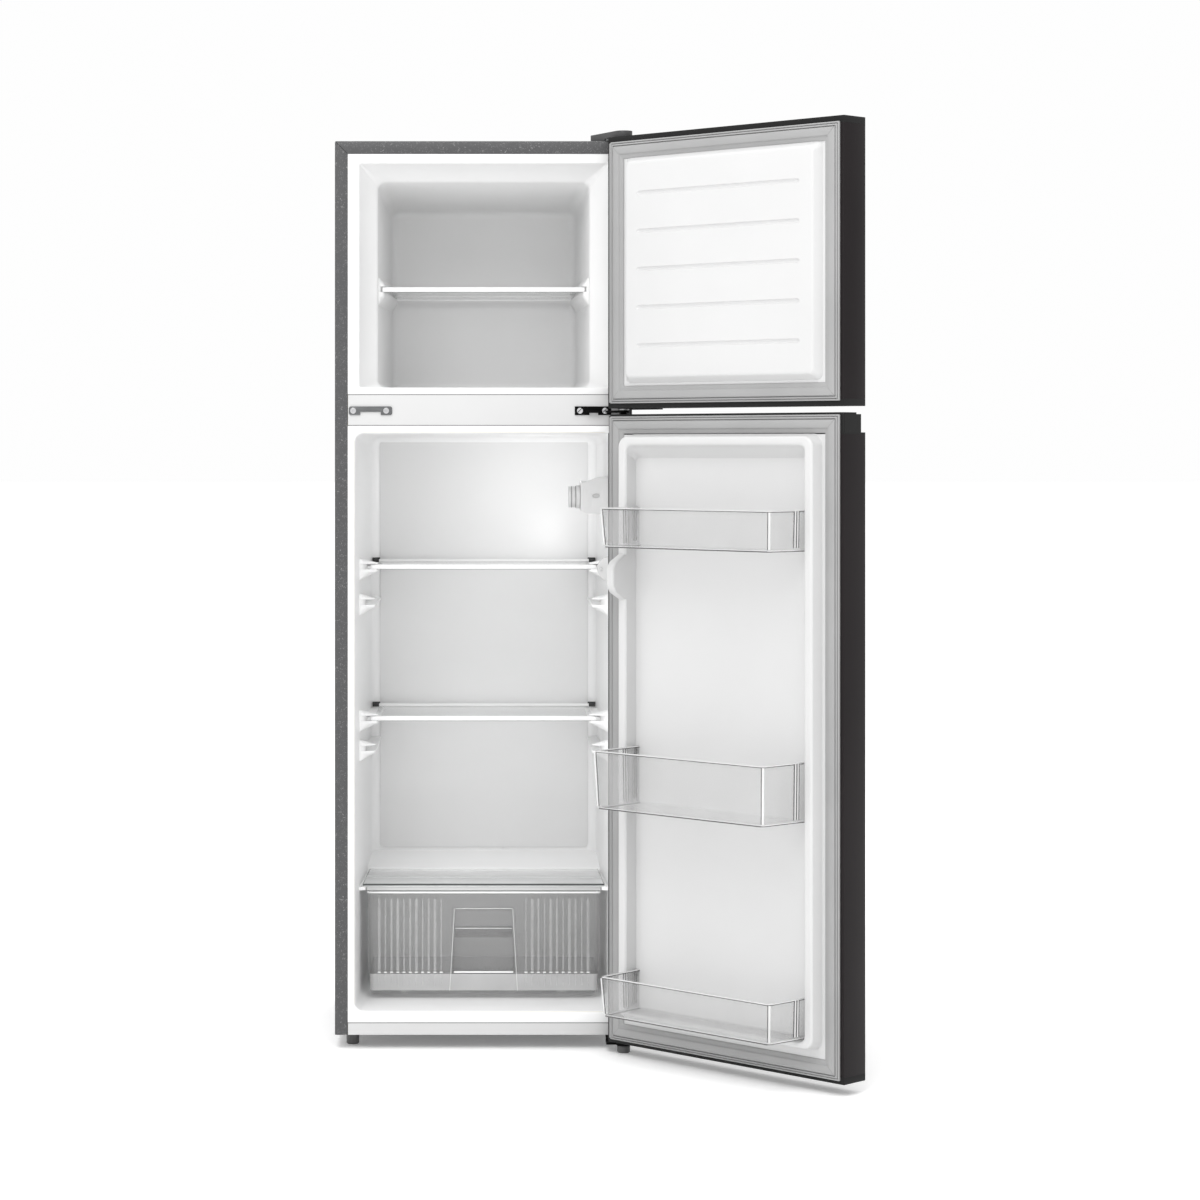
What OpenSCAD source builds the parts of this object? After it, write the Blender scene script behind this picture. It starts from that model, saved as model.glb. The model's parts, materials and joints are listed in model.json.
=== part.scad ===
// Two-door refrigerator with the freezer compartment on top.
// X runs to the right, Y runs from the front to the back, Z runs up.
// The origin is on the floor, below the middle of the cabinet's front plane.
// Both doors are built closed and then swung open about the hinge line.

/* [Cabinet] */
// Width of the cabinet and of both doors
cabinet_w = 550; // [540:2:560]
// Depth of the cabinet behind its front plane
cabinet_d = 525; // [520:5:560]
// Height of the cabinet's top above the floor
cabinet_top = 1680; // [1670:5:1700]
// Height of the cabinet's lower edge above the floor
cabinet_low = 26; // [26:1:28]
// Width of the painted steel flange around the front
flange_w = 23.5; // [20:0.5:24]
// Thickness of the steel sheets
sheet = 1; // [0.8:0.1:1]
// Thickness of the moulded inner liners
liner_t = 1.5; // [1.2:0.1:1.5]

/* [Compartments] */
// Lowest and highest point of the freezer opening at the front
freezer_low = 1224; // [1222:1:1228]
freezer_high = 1640; // [1630:2:1644]
// Lowest and highest point of the fresh food opening at the front
fridge_low = 70; // [68:1:72]
fridge_high = 1139; // [1138:1:1144]
// Lower and upper seam of the cover on the beam between the compartments
beam_low = 1153.5; // [1150:0.5:1154]
beam_high = 1211; // [1208:0.5:1214]
// Upper edge of the rail below the fresh food compartment
rail_high = 48.4; // [46:0.2:50]

/* [Doors] */
// Opening angle of both doors
door_angle = 135; // [0:5:135]
// Distance of the closed door's front face ahead of the cabinet
door_front = 70; // [66:1:74]
// Distance of the closed door's inner face ahead of the cabinet
door_back = 8; // [7:0.5:9]
// Lowest and highest point of the freezer door
freezer_door_low = 1184.7; // [1184:0.1:1186]
freezer_door_high = 1683; // [1683:0.5:1683.5]
// Lowest and highest point of the fresh food door
fridge_door_low = 21; // [20.5:0.5:22]
fridge_door_high = 1173.7; // [1172:0.1:1174]
// Height of the strip across the top of the fresh food door, which is the pull grip
grip_h = 37.5; // [30:0.5:37.5]
// Place of the hinge line, to the right of the middle and ahead of the cabinet
pin_x = 258; // [256:1:260]
pin_y = -31.5; // [-34:0.5:-30]
// Radius of the hinge pins
pin_r = 6; // [5:0.5:6]

/* [Shelves and racks] */
// Heights of the grooves that hold the two glass shelves and of the two spare pairs
shelf_z = [888, 601.5];
spare_z = [821, 545];
// Height of the groove that holds the freezer shelf
freezer_shelf_z = 1409; // [1380:1:1440]
// Half the width of a glass shelf
shelf_half = 212.5; // [208:0.5:212.5]
// Lowest point, height and reach behind the cabinet's front plane of each door rack
upper_rack_size = [934, 71, 97];
middle_rack_size = [466, 104, 114];
lower_rack_size = [92, 71, 97];
// Wall of the clear racks and drawer
rack_t = 2.2; // [1.8:0.1:2.6]

/* [Crisper] */
// Lowest and highest point of the drawer
drawer_low = 80.5; // [80.5:0.5:84]
drawer_high = 275; // [260:1:275]
// Front and back of the drawer behind the cabinet's front plane
drawer_front = 110; // [106:1:116]
drawer_back = 315; // [300:1:318]

/* [Hidden] */
$fn = 64;

half_w = cabinet_w / 2;
inside_half = half_w - sheet;
frame_half = half_w - flange_w;
flange_back = sheet + liner_t;
gap = 0.1;       // air between a foam body and what it fills
seam = 0.3;      // visible seam between two front pieces
cover_front = 0.3;  // how far those pieces are set back
run_gap = 0.05;  // radial clearance of every turning or sliding fit
thin = 0.01;     // thickness of the slabs that a hull joins

steel_grey = [0.30, 0.30, 0.30];
door_grey = [0.21, 0.19, 0.18];
plastic_black = [0.09, 0.09, 0.09];
white = [0.95, 0.95, 0.95];
clear_grey = [0.75, 0.76, 0.77, 0.45];
glass_tint = [0.86, 0.90, 0.90, 0.40];
zinc = [0.70, 0.70, 0.72];
copper = [0.72, 0.45, 0.30];
foam_cream = [0.93, 0.87, 0.68];
gasket_grey = [0.68, 0.68, 0.68];

// ---------- shapes shared by the sub-parts ----------

// Box between two opposite corners
module block(low, high) {
    translate(low) cube(high - low);
}

// The children and their mirror image across the middle plane
module both_sides() {
    children();
    mirror([1, 0, 0]) children();
}

// Rectangle with round corners between two opposite corners
module round_rect(low, high, r) {
    size = high - low;
    translate(low + [r, 0]) square([size.x - 2 * r, size.y]);
    translate(low + [0, r]) square([size.x, size.y - 2 * r]);
    for (x = [low.x + r, high.x - r], y = [low.y + r, high.y - r])
        translate([x, y]) circle(r);
}

// Flat outline given in X and Z, made solid from y0 back to y1
module upright(y0, y1) {
    translate([0, y1, 0]) rotate([90, 0, 0]) linear_extrude(y1 - y0) children();
}

// Upright slab, half wide on each side of the middle, from z0 to z1, at the depth y
module slab(half, z0, z1, r, y) {
    upright(y, y + thin) round_rect([-half, z0], [half, z1], r, $fn = 32);
}

// Box that narrows from its front outline to its rear one, with rounded rear edges.
// Each outline is [half width, lowest, highest, corner radius, depth].
module taper(front, rear, edge_r) {
    hull() {
        slab(front[0], front[1], front[2], front[3], front[4]);
        for (a = [0:15:(edge_r > 0 ? 90 : 0)]) {
            in = edge_r * (1 - cos(a));
            slab(rear[0] - in, rear[1] + in, rear[2] - in, rear[3],
                 rear[4] - thin - edge_r * (1 - sin(a)));
        }
    }
}

// Flat outline given in X and Y, made solid from z0 up to z1
module layer(z0, z1) {
    translate([0, 0, z0]) linear_extrude(z1 - z0) children();
}

// Round bar between two heights
module post(x, y, z0, z1, r) {
    translate([x, y, z0]) cylinder(h = z1 - z0, r = r);
}

// Round bar along Y
module rod_y(x, z, y0, y1, r) {
    translate([x, y1, z]) rotate([90, 0, 0]) cylinder(h = y1 - y0, r = r);
}

// Round bar along X
module rod_x(y, z, x0, x1, r) {
    translate([x0, y, z]) rotate([0, 90, 0]) cylinder(h = x1 - x0, r = r);
}

// Straight strip with round ends between two points of the floor plan
module strip(a, b, r) {
    along = atan2(b.y - a.y, b.x - a.x);
    polygon(concat([for (turn = [90:7.5:270]) a + r * [cos(along + turn), sin(along + turn)]],
                   [for (turn = [-90:7.5:90]) b + r * [cos(along + turn), sin(along + turn)]]));
}

// ---------- compartments ----------

mouth_half = 231;      // half width of the freezer opening at the front
bevel_half = 197;      // half width behind the freezer's bevelled frame
bevel_depth = 45;
bevel_high = freezer_high - 33;
freezer_back = 400;
freezer_back_half = 182;
freezer_back_high = freezer_high - 60;

fridge_half = 238;     // half width of the fresh food opening at the front
fridge_back_half = 224;
fridge_back = 430;
fridge_edge = 18;      // radius of the rear upright edges
floor_rise = 8;        // how much the floor rises from the front to the back

hump_front = 325;      // step over the compressor at the back of the fresh food compartment
hump_low = 290;
hump_high = 312;

bay_front = 365;       // compressor bay below the back of the cabinet
bay_high = 255;

// Half the width of the fresh food compartment at the depth y
function wall_at(y) =
    fridge_half - (fridge_half - fridge_back_half) * (y - sheet) / (fridge_back - fridge_edge - sheet);

// Space inside the freezer liner, grown outwards by g
module freezer_space(g) {
    start = g > 0 ? sheet : sheet - thin;
    taper([mouth_half + g, freezer_low - g, freezer_high + g, 3, start],
          [bevel_half + g, freezer_low - g, bevel_high + g, 14, bevel_depth], 0);
    taper([bevel_half + g, freezer_low - g, bevel_high + g, 14, bevel_depth],
          [freezer_back_half + g, freezer_low - g, freezer_back_high + g, 16, freezer_back + g], 14);
}

// Space inside the fresh food liner, grown outwards by g
module fridge_space(g) {
    start = g > 0 ? sheet : sheet - thin;
    difference() {
        taper([fridge_half + g, fridge_low - g, fridge_high + g, 16, start],
              [fridge_back_half + g, fridge_low + floor_rise - g, fridge_high - 4 + g, 16, fridge_back + g],
              fridge_edge);
        hump(g);
    }
}

// Raised floor over the compressor, shrunk by g
module hump(g) {
    rear = fridge_back + 20;
    rise = hump_low + (hump_high - hump_low) * (rear - hump_front) / (fridge_back - hump_front);
    translate([-half_w, 0, 0]) rotate([90, 0, 90]) linear_extrude(cabinet_w)
        polygon([[hump_front + g, 0], [hump_front + g, hump_low - g], [rear, rise - g], [rear, 0]]);
}

rib_tip = 200;         // half width between the ribs that hold the shelves
groove_half = 214.5;
rib_front = 112;
rib_back = 411;
groove_h = 5.2;        // half the height of a shelf groove

// Rib with a groove for the edge of a shelf, on the right wall at the height z
module fridge_rib(z) {
    difference() {
        intersection() {
            upright(rib_front - 2, rib_back)
                polygon([[fridge_half + 8, z + 26], [rib_tip, z + 10],
                         [rib_tip, z - 10], [fridge_half + 8, z - 26]]);
            layer(z - 30, z + 30)
                polygon([[wall_at(rib_front) + fuse, rib_front], [rib_tip, rib_front + 14],
                         [rib_tip, rib_back], [wall_at(rib_back) + fuse, rib_back]]);
        }
        block([rib_tip - 1, rib_front - 3, z - groove_h], [groove_half, rib_back + 1, z + groove_h]);
    }
}

freezer_rib_tip = 183;
freezer_groove = 190.5;
freezer_rib_front = 60;
freezer_rib_back = 380;

// Half the width of the freezer compartment at the depth y
function freezer_wall_at(y) =
    bevel_half - (bevel_half - freezer_back_half) * (y - bevel_depth) / (freezer_back - 14 - bevel_depth);

// Rib with a groove for the freezer shelf, on the right wall
module freezer_rib(z) {
    tip_at = function(y) freezer_wall_at(y) - 11;
    difference() {
        intersection() {
            upright(freezer_rib_front - 2, freezer_rib_back)
                polygon([[bevel_half + 8, z + 22], [freezer_rib_tip + 3, z + 7],
                         [freezer_rib_tip - 12, z + 7], [freezer_rib_tip - 12, z - 15],
                         [freezer_rib_tip + 3, z - 15], [bevel_half + 8, z - 32]]);
            layer(z - 40, z + 40)
                polygon([[freezer_wall_at(freezer_rib_front) + fuse, freezer_rib_front],
                         [tip_at(freezer_rib_front), freezer_rib_front + 8],
                         [tip_at(freezer_rib_back), freezer_rib_back],
                         [freezer_wall_at(freezer_rib_back) + fuse, freezer_rib_back]]);
        }
        layer(z - groove_h, z + groove_h)
            polygon([[150, freezer_rib_front - 3], [freezer_groove, freezer_rib_front - 3],
                     [freezer_groove - 13, freezer_rib_back + 1], [150, freezer_rib_back + 1]]);
    }
}

switch_z = 886;        // light switch on the right wall
switch_x = 235.5;
switch_r = 22;
switch_front = 58;
switch_back = 98;
plunger_x = 220;
drain_x = 60;          // drain of the fresh food compartment
drain_y = 418;
drain_r = 6;
foot_stud_r = 4;
left_foot_at = [-244, 54];

module freezer_liner() {
    color(white) difference() {
        union() {
            block([-inside_half + gap, sheet, beam_high],
                  [inside_half - gap, flange_back, cabinet_top - sheet - gap]);
            freezer_space(liner_t);
        }
        freezer_space(0);
    }
    color(white) both_sides() freezer_rib(freezer_shelf_z);
}

module fridge_liner() {
    color(white) difference() {
        union() {
            block([-inside_half + gap, sheet, rail_high], [inside_half - gap, flange_back, beam_low]);
            fridge_space(liner_t);
        }
        fridge_space(0);
        block([switch_x - 8, switch_front + 5, switch_z - 11],
              [switch_x + 8, switch_back - 5, switch_z + 11]);
        post(drain_x, drain_y, hump_low - 5, hump_high + 5, drain_r - 1.5);
    }
    color(white) both_sides() {
        for (z = concat(shelf_z, spare_z)) fridge_rib(z);
        cover_ledge();
        drawer_runner();
    }
}

cover_z = 285;         // underside of the crisper's cover
ledge_front = 104;

// Ledge below the edge of the crisper's cover
module cover_ledge() {
    layer(cover_z - 7, cover_z - 0.2)
        polygon([[wall_at(ledge_front) + fuse, ledge_front], [222.5, ledge_front + 4], [222.5, hump_front],
                 [wall_at(hump_front) + fuse, hump_front]]);
}

runner_front = 180;
fuse = 0.8;            // how far a moulded rib reaches into the wall it stands on

// Height of the fresh food compartment's floor at the depth y
function floor_at(y) = fridge_low + floor_rise * (y - sheet) / (fridge_back - fridge_edge - sheet);

// Runner on the compartment's floor, below the drawer
module drawer_runner() {
    rear = hump_front + 0.5;
    translate([140, 0, 0]) rotate([90, 0, 90]) linear_extrude(18)
        polygon([[runner_front, floor_at(runner_front) - fuse], [rear, floor_at(rear) - fuse],
                 [rear, drawer_low - 0.3], [runner_front, drawer_low - 0.3]]);
}

// ---------- cabinet ----------

module outer_shell() {
    color(steel_grey) difference() {
        block([-half_w, 0, cabinet_low], [half_w, cabinet_d, cabinet_top]);
        block([-inside_half, sheet, cabinet_low - 1], [inside_half, cabinet_d + 1, cabinet_top - sheet]);
        block([-frame_half, -1, cabinet_low - 1], [frame_half, sheet + 1, cabinet_top - flange_w]);
        both_sides() mitre_line();
    }
}

// Fine joint line across a corner of the front flange
module mitre_line() {
    translate([half_w, 0, cabinet_top]) rotate([0, 45, 0])
        block([-flange_w * sqrt(2), -1, -0.25], [0, 0.4, 0.25]);
}

// Steel back that steps forwards over the compressor bay
module back_panel() {
    rear = cabinet_d - sheet;
    color(zinc) difference() {
        union() {
            block([-inside_half + gap, rear, bay_high],
                  [inside_half - gap, cabinet_d, cabinet_top - sheet - gap]);
            block([-inside_half + gap, bay_front, bay_high - sheet],
                  [inside_half - gap, cabinet_d, bay_high]);
            block([-inside_half + gap, bay_front - sheet, plate_high],
                  [inside_half - gap, bay_front, bay_high]);
        }
        post(drain_x, drain_y, bay_high - 5, bay_high + 5, drain_r + 0.2);
        for (at = pipe_at) post(at.x, at.y, bay_high - 5, bay_high + 5, pipe_r + 0.2);
        rod_y(gland_at.x, gland_at.y, rear - 2, cabinet_d + 2, gland_hole_r);
    }
}

plate_t = 1.5;
plate_high = cabinet_low + plate_t;
nut_r = 9;
nut_high = plate_high + 7;
roller_r = 12;
roller_w = 18;
roller_x = 240;
roller_y = cabinet_d - 25;
axle_r = 2.5;
tab_t = 2;

module base_plate() {
    color(zinc) difference() {
        union() {
            block([-inside_half + gap, flange_back + gap, cabinet_low],
                  [inside_half - gap, cabinet_d - 0.5, plate_high]);
            post(left_foot_at.x, left_foot_at.y, cabinet_low, nut_high, nut_r);
            both_sides() for (x = [roller_x - roller_w / 2 - 0.5 - tab_t, roller_x + roller_w / 2 + 0.5])
                block([x, roller_y - 12, roller_r - 6], [x + tab_t, roller_y + 12, cabinet_low + 0.5]);
            block([-inside_half + gap, cabinet_d - 2, plate_high],
                  [inside_half - gap, cabinet_d - 0.5, plate_high + 12]);
        }
        post(left_foot_at.x, left_foot_at.y, cabinet_low - 1, nut_high + 1, foot_stud_r + run_gap);
        both_sides() rod_x(roller_y, roller_r, roller_x - 20, roller_x + 20, axle_r);
    }
}

// Insulation between the outer shell and the liners
module cabinet_foam() {
    color(foam_cream) difference() {
        block([-inside_half + gap, flange_back + gap, plate_high + gap],
              [inside_half - gap, cabinet_d - sheet - gap, cabinet_top - sheet - gap]);
        freezer_space(liner_t + gap);
        fridge_space(liner_t + gap);
        block([-half_w, bay_front - sheet - gap, 0], [half_w, cabinet_d, bay_high + gap]);
        for (panel = evaporator_panels)
            block([-panel[0] - 6, panel[3] - gap, panel[1] - 6],
                  [panel[0] + 6, panel[3] + 14, panel[2] + 6]);
        both_sides()
            block([inside_half - 9, coil_front - 8, coil_low - coil_pitch],
                  [half_w, coil_back + 8, coil_high + coil_pitch]);
        block([switch_x - 4, switch_front + 3, switch_z - 13],
              [switch_x + 25, switch_back - 3, switch_z + 13]);
        post(drain_x, drain_y, bay_high - 5, hump_high + 5, drain_r + 0.1);
        post(left_foot_at.x, left_foot_at.y, 20, nut_high + 20, nut_r + 0.5);
        for (at = pipe_at) post(at.x, at.y, bay_high - 5, pipe_high + 2, pipe_r + 0.2);
        for (at = beam_screws) rod_y(at.x, at.y, 0, screw_depth + 2, screw_r + 0.2);
        rod_y(gland_at.x, gland_at.y, cabinet_d - 24, cabinet_d, gland_hole_r + 5);
        for (at = top_screws) post(at.x, at.y, cabinet_top - 20, cabinet_top, screw_r + 0.2);
        for (at = low_screws) post(at.x, at.y, 0, plate_high + 12, screw_r + 0.2);
    }
}

plate_low = 1173;      // hinge plates on the beam
plate_top = 1189;
beam_z = (plate_low + plate_top) / 2;
screw_r = 2.4;
screw_depth = 14;
beam_screws = [[-241, beam_z], [-180, beam_z], [178.5, beam_z], [225, beam_z]];
top_screws = [[238, 14], [226, 34], [214, 54]];
low_screws = [[236, 20], [260, 20], [248, 56]];

module mullion_cover() {
    color(white) difference() {
        block([-frame_half + seam, cover_front, beam_low + seam],
              [frame_half - seam, flange_back, beam_high - seam]);
        for (at = beam_screws) rod_y(at.x, at.y, -1, flange_back + 1, screw_r + 0.1);
    }
}

module bottom_rail() {
    color(white) block([-frame_half + seam, cover_front, cabinet_low],
                       [frame_half - seam, flange_back, rail_high - seam]);
}

// ---------- cooling system ----------

can_at = [95, 446];
can_r = 70;
can_low = 42;
can_high = 206;
pipe_r = 3;
pipe_high = bay_high + 12;
pipe_at = [[205, 430], [225, 470], [-60, 470]];
pipe_bend = 14;

// Sealed steel can with a round shoulder and a dished lid, on a four-legged foot plate
module compressor() {
    shoulder = 34;
    color(plastic_black) {
        translate([can_at.x, can_at.y, 0]) rotate_extrude()
            polygon(concat([[0, can_low], [can_r - 12, can_low], [can_r, can_low + 12]],
                [for (a = [0:10:90])
                    [can_r - shoulder + shoulder * cos(a), can_high - 12 - shoulder + shoulder * sin(a)]],
                [[18, can_high], [0, can_high]]));
        difference() {
            layer(can_low - 3, can_low)
                round_rect(can_at - [82, 62], can_at + [82, 62], 12);
            for (x = [-68, 68], y = [-48, 48])
                post(can_at.x + x, can_at.y + y, can_low - 5, can_low + 1, 5.2);
        }
    }
}

// Rubber bushes between the foot plate and the base plate
module compressor_grommets() {
    color(plastic_black) for (x = [-68, 68], y = [-48, 48]) {
        post(can_at.x + x, can_at.y + y, plate_high, can_low - 3, 10);
        post(can_at.x + x, can_at.y + y, can_low - 3, can_low + 3, 5.1);
    }
}

module terminal_cover() {
    color(plastic_black) difference() {
        block([can_at.x - can_r - 34, can_at.y - 28, 92], [can_at.x - can_r + 14, can_at.y + 28, 152]);
        post(can_at.x, can_at.y, 80, 160, can_r + 0.1);
    }
}

// Open pan on top of the compressor, where the melt water dries up
module drip_tray() {
    color([0.75, 0.75, 0.75]) difference() {
        layer(can_high, can_high + 22) round_rect([20, 376], [172, 516], 14);
        layer(can_high + 2, can_high + 23) round_rect([22, 378], [170, 514], 12);
    }
}

module drain_tube() {
    low = can_high + 14;
    slope = (hump_high - hump_low) / (fridge_back - hump_front);
    high = hump_low + slope * (drain_y - drain_r - hump_front) - liner_t - 0.5;
    color([0.6, 0.6, 0.6]) difference() {
        post(drain_x, drain_y, low, high, drain_r);
        post(drain_x, drain_y, low - 1, high + 1, drain_r - 1.5);
    }
}

// Copper tube that leaves the can level, bends up and goes through the bay's ceiling
module riser(start, at, z) {
    run = norm(at - start);
    translate([start.x, start.y, z]) rotate([0, 0, atan2(at.y - start.y, at.x - start.x)]) {
        rotate([0, 90, 0]) cylinder(h = run - pipe_bend, r = pipe_r);
        translate([run - pipe_bend, 0, pipe_bend]) rotate([90, 0, 0]) rotate([0, 0, -90])
            rotate_extrude(angle = 90) translate([pipe_bend, 0]) circle(pipe_r);
    }
    post(at.x, at.y, z + pipe_bend, pipe_high, pipe_r);
}

// Three tubes of the cooling circuit with the filter drier in one of them
module refrigerant_pipes() {
    color(copper) {
        difference() {
            union() {
                riser(can_at + [can_r - 4, 0], pipe_at[0], 150);
                riser(can_at + [can_r - 4, 0], pipe_at[1], 105);
                riser(can_at + [-can_r - 50, 30], pipe_at[2], 66);
            }
            post(can_at.x, can_at.y, can_low, can_high, can_r + 0.05);
        }
        post(pipe_at[2].x, pipe_at[2].y, 110, 200, 9);
    }
}

coil_front = 70;       // condenser tube on the inner faces of the side panels
coil_back = 480;
coil_low = 330;
coil_high = 1480;
coil_r = 2.4;
coil_runs = 8;
coil_pitch = (coil_back - coil_front) / (coil_runs - 1);

// Flat outline of a tube that runs to and fro: count runs of the length given, pitch apart along Y
module serpentine(count, length, pitch, r) {
    for (i = [0:count - 1])
        translate([0, i * pitch - r]) square([length, 2 * r]);
    for (i = [0:count - 2])
        translate([i % 2 == 0 ? length : 0, (i + 0.5) * pitch]) difference() {
            circle(pitch / 2 + r, $fn = 48);
            circle(pitch / 2 - r, $fn = 48);
            translate([i % 2 == 0 ? -2 * pitch : 0, -pitch]) square(2 * pitch);
        }
}

// Flattened tube on the inner face of each side panel
module condenser_coil() {
    color(copper) both_sides()
        translate([inside_half - 2 * coil_r - 1, coil_front, coil_high]) rotate([0, 90, 0])
            linear_extrude(2 * coil_r) serpentine(coil_runs, coil_high - coil_low, coil_pitch, coil_r);
}

// Each panel is [half width, lowest, highest, depth of its front face]
evaporator_panels = [
    [165, freezer_low + 20, freezer_back_high - 20, freezer_back + liner_t + 2 * gap],
    [180, 700, fridge_high - 60, fridge_back + liner_t + 2 * gap]
];
tube_r = 4;
tube_pitch = 48;

// Aluminium plates with a flattened tube coil, in the foam behind both compartments
module evaporator() {
    color(zinc) for (p = evaporator_panels) {
        plate_back = p[3] + 1.2;
        block([-p[0], p[3], p[1]], [p[0], plate_back, p[2]]);
        translate([-p[0] + 40, plate_back + tube_r, p[1] + 20]) rotate([90, 0, 0]) linear_extrude(tube_r)
            serpentine(1 + floor((p[2] - p[1] - 40) / tube_pitch), 2 * p[0] - 80, tube_pitch, tube_r);
    }
}

// ---------- hinges, feet and rollers ----------

hinge_low = cabinet_top + 4;
hinge_t = 3;
cover_high = cabinet_top + 15;
cover_r = 16;
cover_end = [216, 52];
pin_at = [pin_x, pin_y];

// Steel strap on the cabinet's top with the upper hinge pin
module top_hinge() {
    color(zinc) difference() {
        union() {
            layer(hinge_low, hinge_low + hinge_t) strip(pin_at, cover_end, cover_r - 3);
            intersection() {
                layer(cabinet_top, hinge_low) strip(pin_at, cover_end, cover_r - 3);
                block([150, 2, cabinet_top], [half_w, 100, hinge_low]);
            }
            post(pin_x, pin_y, freezer_door_high - 10, hinge_low + 1, pin_r);
        }
        for (at = top_screws) post(at.x, at.y, cabinet_top - 1, hinge_low + 5, screw_r + 0.1);
    }
}

// Plastic hood over the upper hinge
module top_hinge_cover() {
    color(steel_grey) difference() {
        union() {
            layer(hinge_low, cover_high) strip(pin_at, cover_end, cover_r);
            intersection() {
                layer(cabinet_top, hinge_low) strip(pin_at, cover_end, cover_r);
                block([150, 2, cabinet_top], [half_w, 100, hinge_low]);
            }
        }
        layer(cabinet_top - 1, cover_high - 1.8) strip(pin_at, cover_end, cover_r - 1.8);
    }
}

arm_low = 1177.2;
arm_high = 1181.2;

// Plate on the beam and arm with a pin into each door; the arm is notched in front of a screw
module middle_hinge() {
    color(plastic_black) difference() {
        union() {
            block([169, -2, plate_low], [236, 0, plate_top]);
            layer(arm_low, arm_high) {
                translate([190, -12]) square([56, 12]);
                polygon([[212, 0], [246, 0], [pin_x + 9, pin_y], [pin_x - 9, pin_y - 8]]);
                translate(pin_at) circle(12);
            }
            post(pin_x, pin_y, fridge_door_high - 18, freezer_door_low + 10, pin_r);
        }
        block([196, -3, plate_low - 1], [212, 1, plate_low + 4]);
        block([218.5, -14, arm_low - 1], [231.5, -2, arm_high + 1]);
        for (at = beam_screws) rod_y(at.x, at.y, -6, 1, screw_r + 0.1);
    }
}

// Cover plate over the spare hinge position on the other side
module blank_hinge_plate() {
    color(zinc) difference() {
        upright(-2, 0) round_rect([-249, plate_low], [-169, plate_top], 4);
        block([-228, -3, plate_low - 1], [-190, 1, plate_low + 6]);
        for (at = beam_screws) rod_y(at.x, at.y, -6, 1, screw_r + 0.1);
    }
}

low_plate = [14, 18];

// Stepped bracket below the cabinet, with a hollow hinge pin that takes the right foot's stud
module bottom_hinge() {
    color(plastic_black) difference() {
        union() {
            block([226, 3, cabinet_low - 4], [270, 70, cabinet_low]);
            block([226, 0, low_plate[0]], [270, 4, cabinet_low]);
            layer(low_plate[0], low_plate[1]) {
                translate([226, pin_y]) square([44, 4 - pin_y]);
                translate(pin_at) circle(14);
            }
            post(pin_x, pin_y, low_plate[0], fridge_door_low + 10, pin_r);
        }
        post(pin_x, pin_y, low_plate[0] - 1, fridge_door_low + 6, foot_stud_r + run_gap);
        for (at = low_screws) post(at.x, at.y, cabinet_low - 5, cabinet_low + 1, screw_r + 0.1);
    }
}

// Pan-head screw whose head sits on the origin and whose shank points along -Z
module screw(length) {
    difference() {
        union() {
            cylinder(h = 2.4, r = 5.4);
            translate([0, 0, -length]) cylinder(h = length, r = screw_r);
        }
        for (a = [0, 90]) rotate(a) translate([-3.4, -0.5, 1]) cube([6.8, 1, 2]);
    }
}

module hinge_screws() {
    color(zinc) {
        for (at = beam_screws) translate([at.x, -2, at.y]) rotate([90, 0, 0]) screw(screw_depth);
        for (at = top_screws) translate([at.x, at.y, hinge_low + hinge_t]) screw(hinge_t + 4);
        for (at = low_screws) translate([at.x, at.y, cabinet_low - 4]) rotate([180, 0, 0]) screw(4);
    }
}

// Nylon washers that the doors stand on
module hinge_washers() {
    color(white) for (z = [[arm_high, freezer_door_low], [low_plate[1], fridge_door_low]])
        difference() {
            post(pin_x, pin_y, z[0], z[1] - 0.2, 10);
            post(pin_x, pin_y, z[0] - 1, z[1] + 1, pin_r);
        }
}

gland_at = [-215, 290];
gland_hole_r = 9;
gland_bore_r = 4;

// Bush in the steel back for the mains cord
module cord_gland() {
    rear = cabinet_d;
    color(plastic_black) difference() {
        union() {
            rod_y(gland_at.x, gland_at.y, rear - 12, rear + 3, gland_hole_r);
            rod_y(gland_at.x, gland_at.y, rear, rear + 3, gland_hole_r + 4);
            rod_y(gland_at.x, gland_at.y, rear - 12, rear - sheet - 0.5, gland_hole_r + 2.5);
        }
        rod_y(gland_at.x, gland_at.y, rear - 13, rear + 4, gland_bore_r);
    }
}

module roller_axles() {
    color(zinc) both_sides()
        rod_x(roller_y, roller_r, roller_x - roller_w / 2 - 4, roller_x + roller_w / 2 + 4, axle_r);
}

module roller(x) {
    color(plastic_black) difference() {
        rod_x(roller_y, roller_r, x - roller_w / 2, x + roller_w / 2, roller_r);
        rod_x(roller_y, roller_r, x - roller_w, x + roller_w, axle_r + run_gap);
        for (face = [x - roller_w / 2, x + roller_w / 2]) difference() {
            rod_x(roller_y, roller_r, face - 2, face + 2, 9);
            rod_x(roller_y, roller_r, face - 3, face + 3, 5);
        }
    }
}

module left_roller() { roller(-roller_x); }
module right_roller() { roller(roller_x); }

// Levelling foot that stands on the floor, with a stud up to the height given
module foot(at, body_high, stud_high) {
    color(steel_grey) translate([at.x, at.y, 0]) {
        rotate_extrude()
            polygon([[0, 0], [10, 0], [12, 2], [12, body_high - 1], [11, body_high], [0, body_high]]);
        cylinder(h = stud_high, r = foot_stud_r);
    }
}

module left_foot() { foot(left_foot_at, 19, nut_high + 12); }
module right_foot() { foot(pin_at, low_plate[0] - 0.5, low_plate[1] - 1); }

// ---------- inside the fresh food compartment ----------

stat_front = 105;      // thermostat and lamp box on the right wall
stat_back = 165;
lamp_back = 222;
stat_half = 183;
stat_low = 988;
stat_high = 1057;
dial_z = 1019.5;
dial_y = 135;
dial_r = 22;
wall_gap = 0.15;

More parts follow.
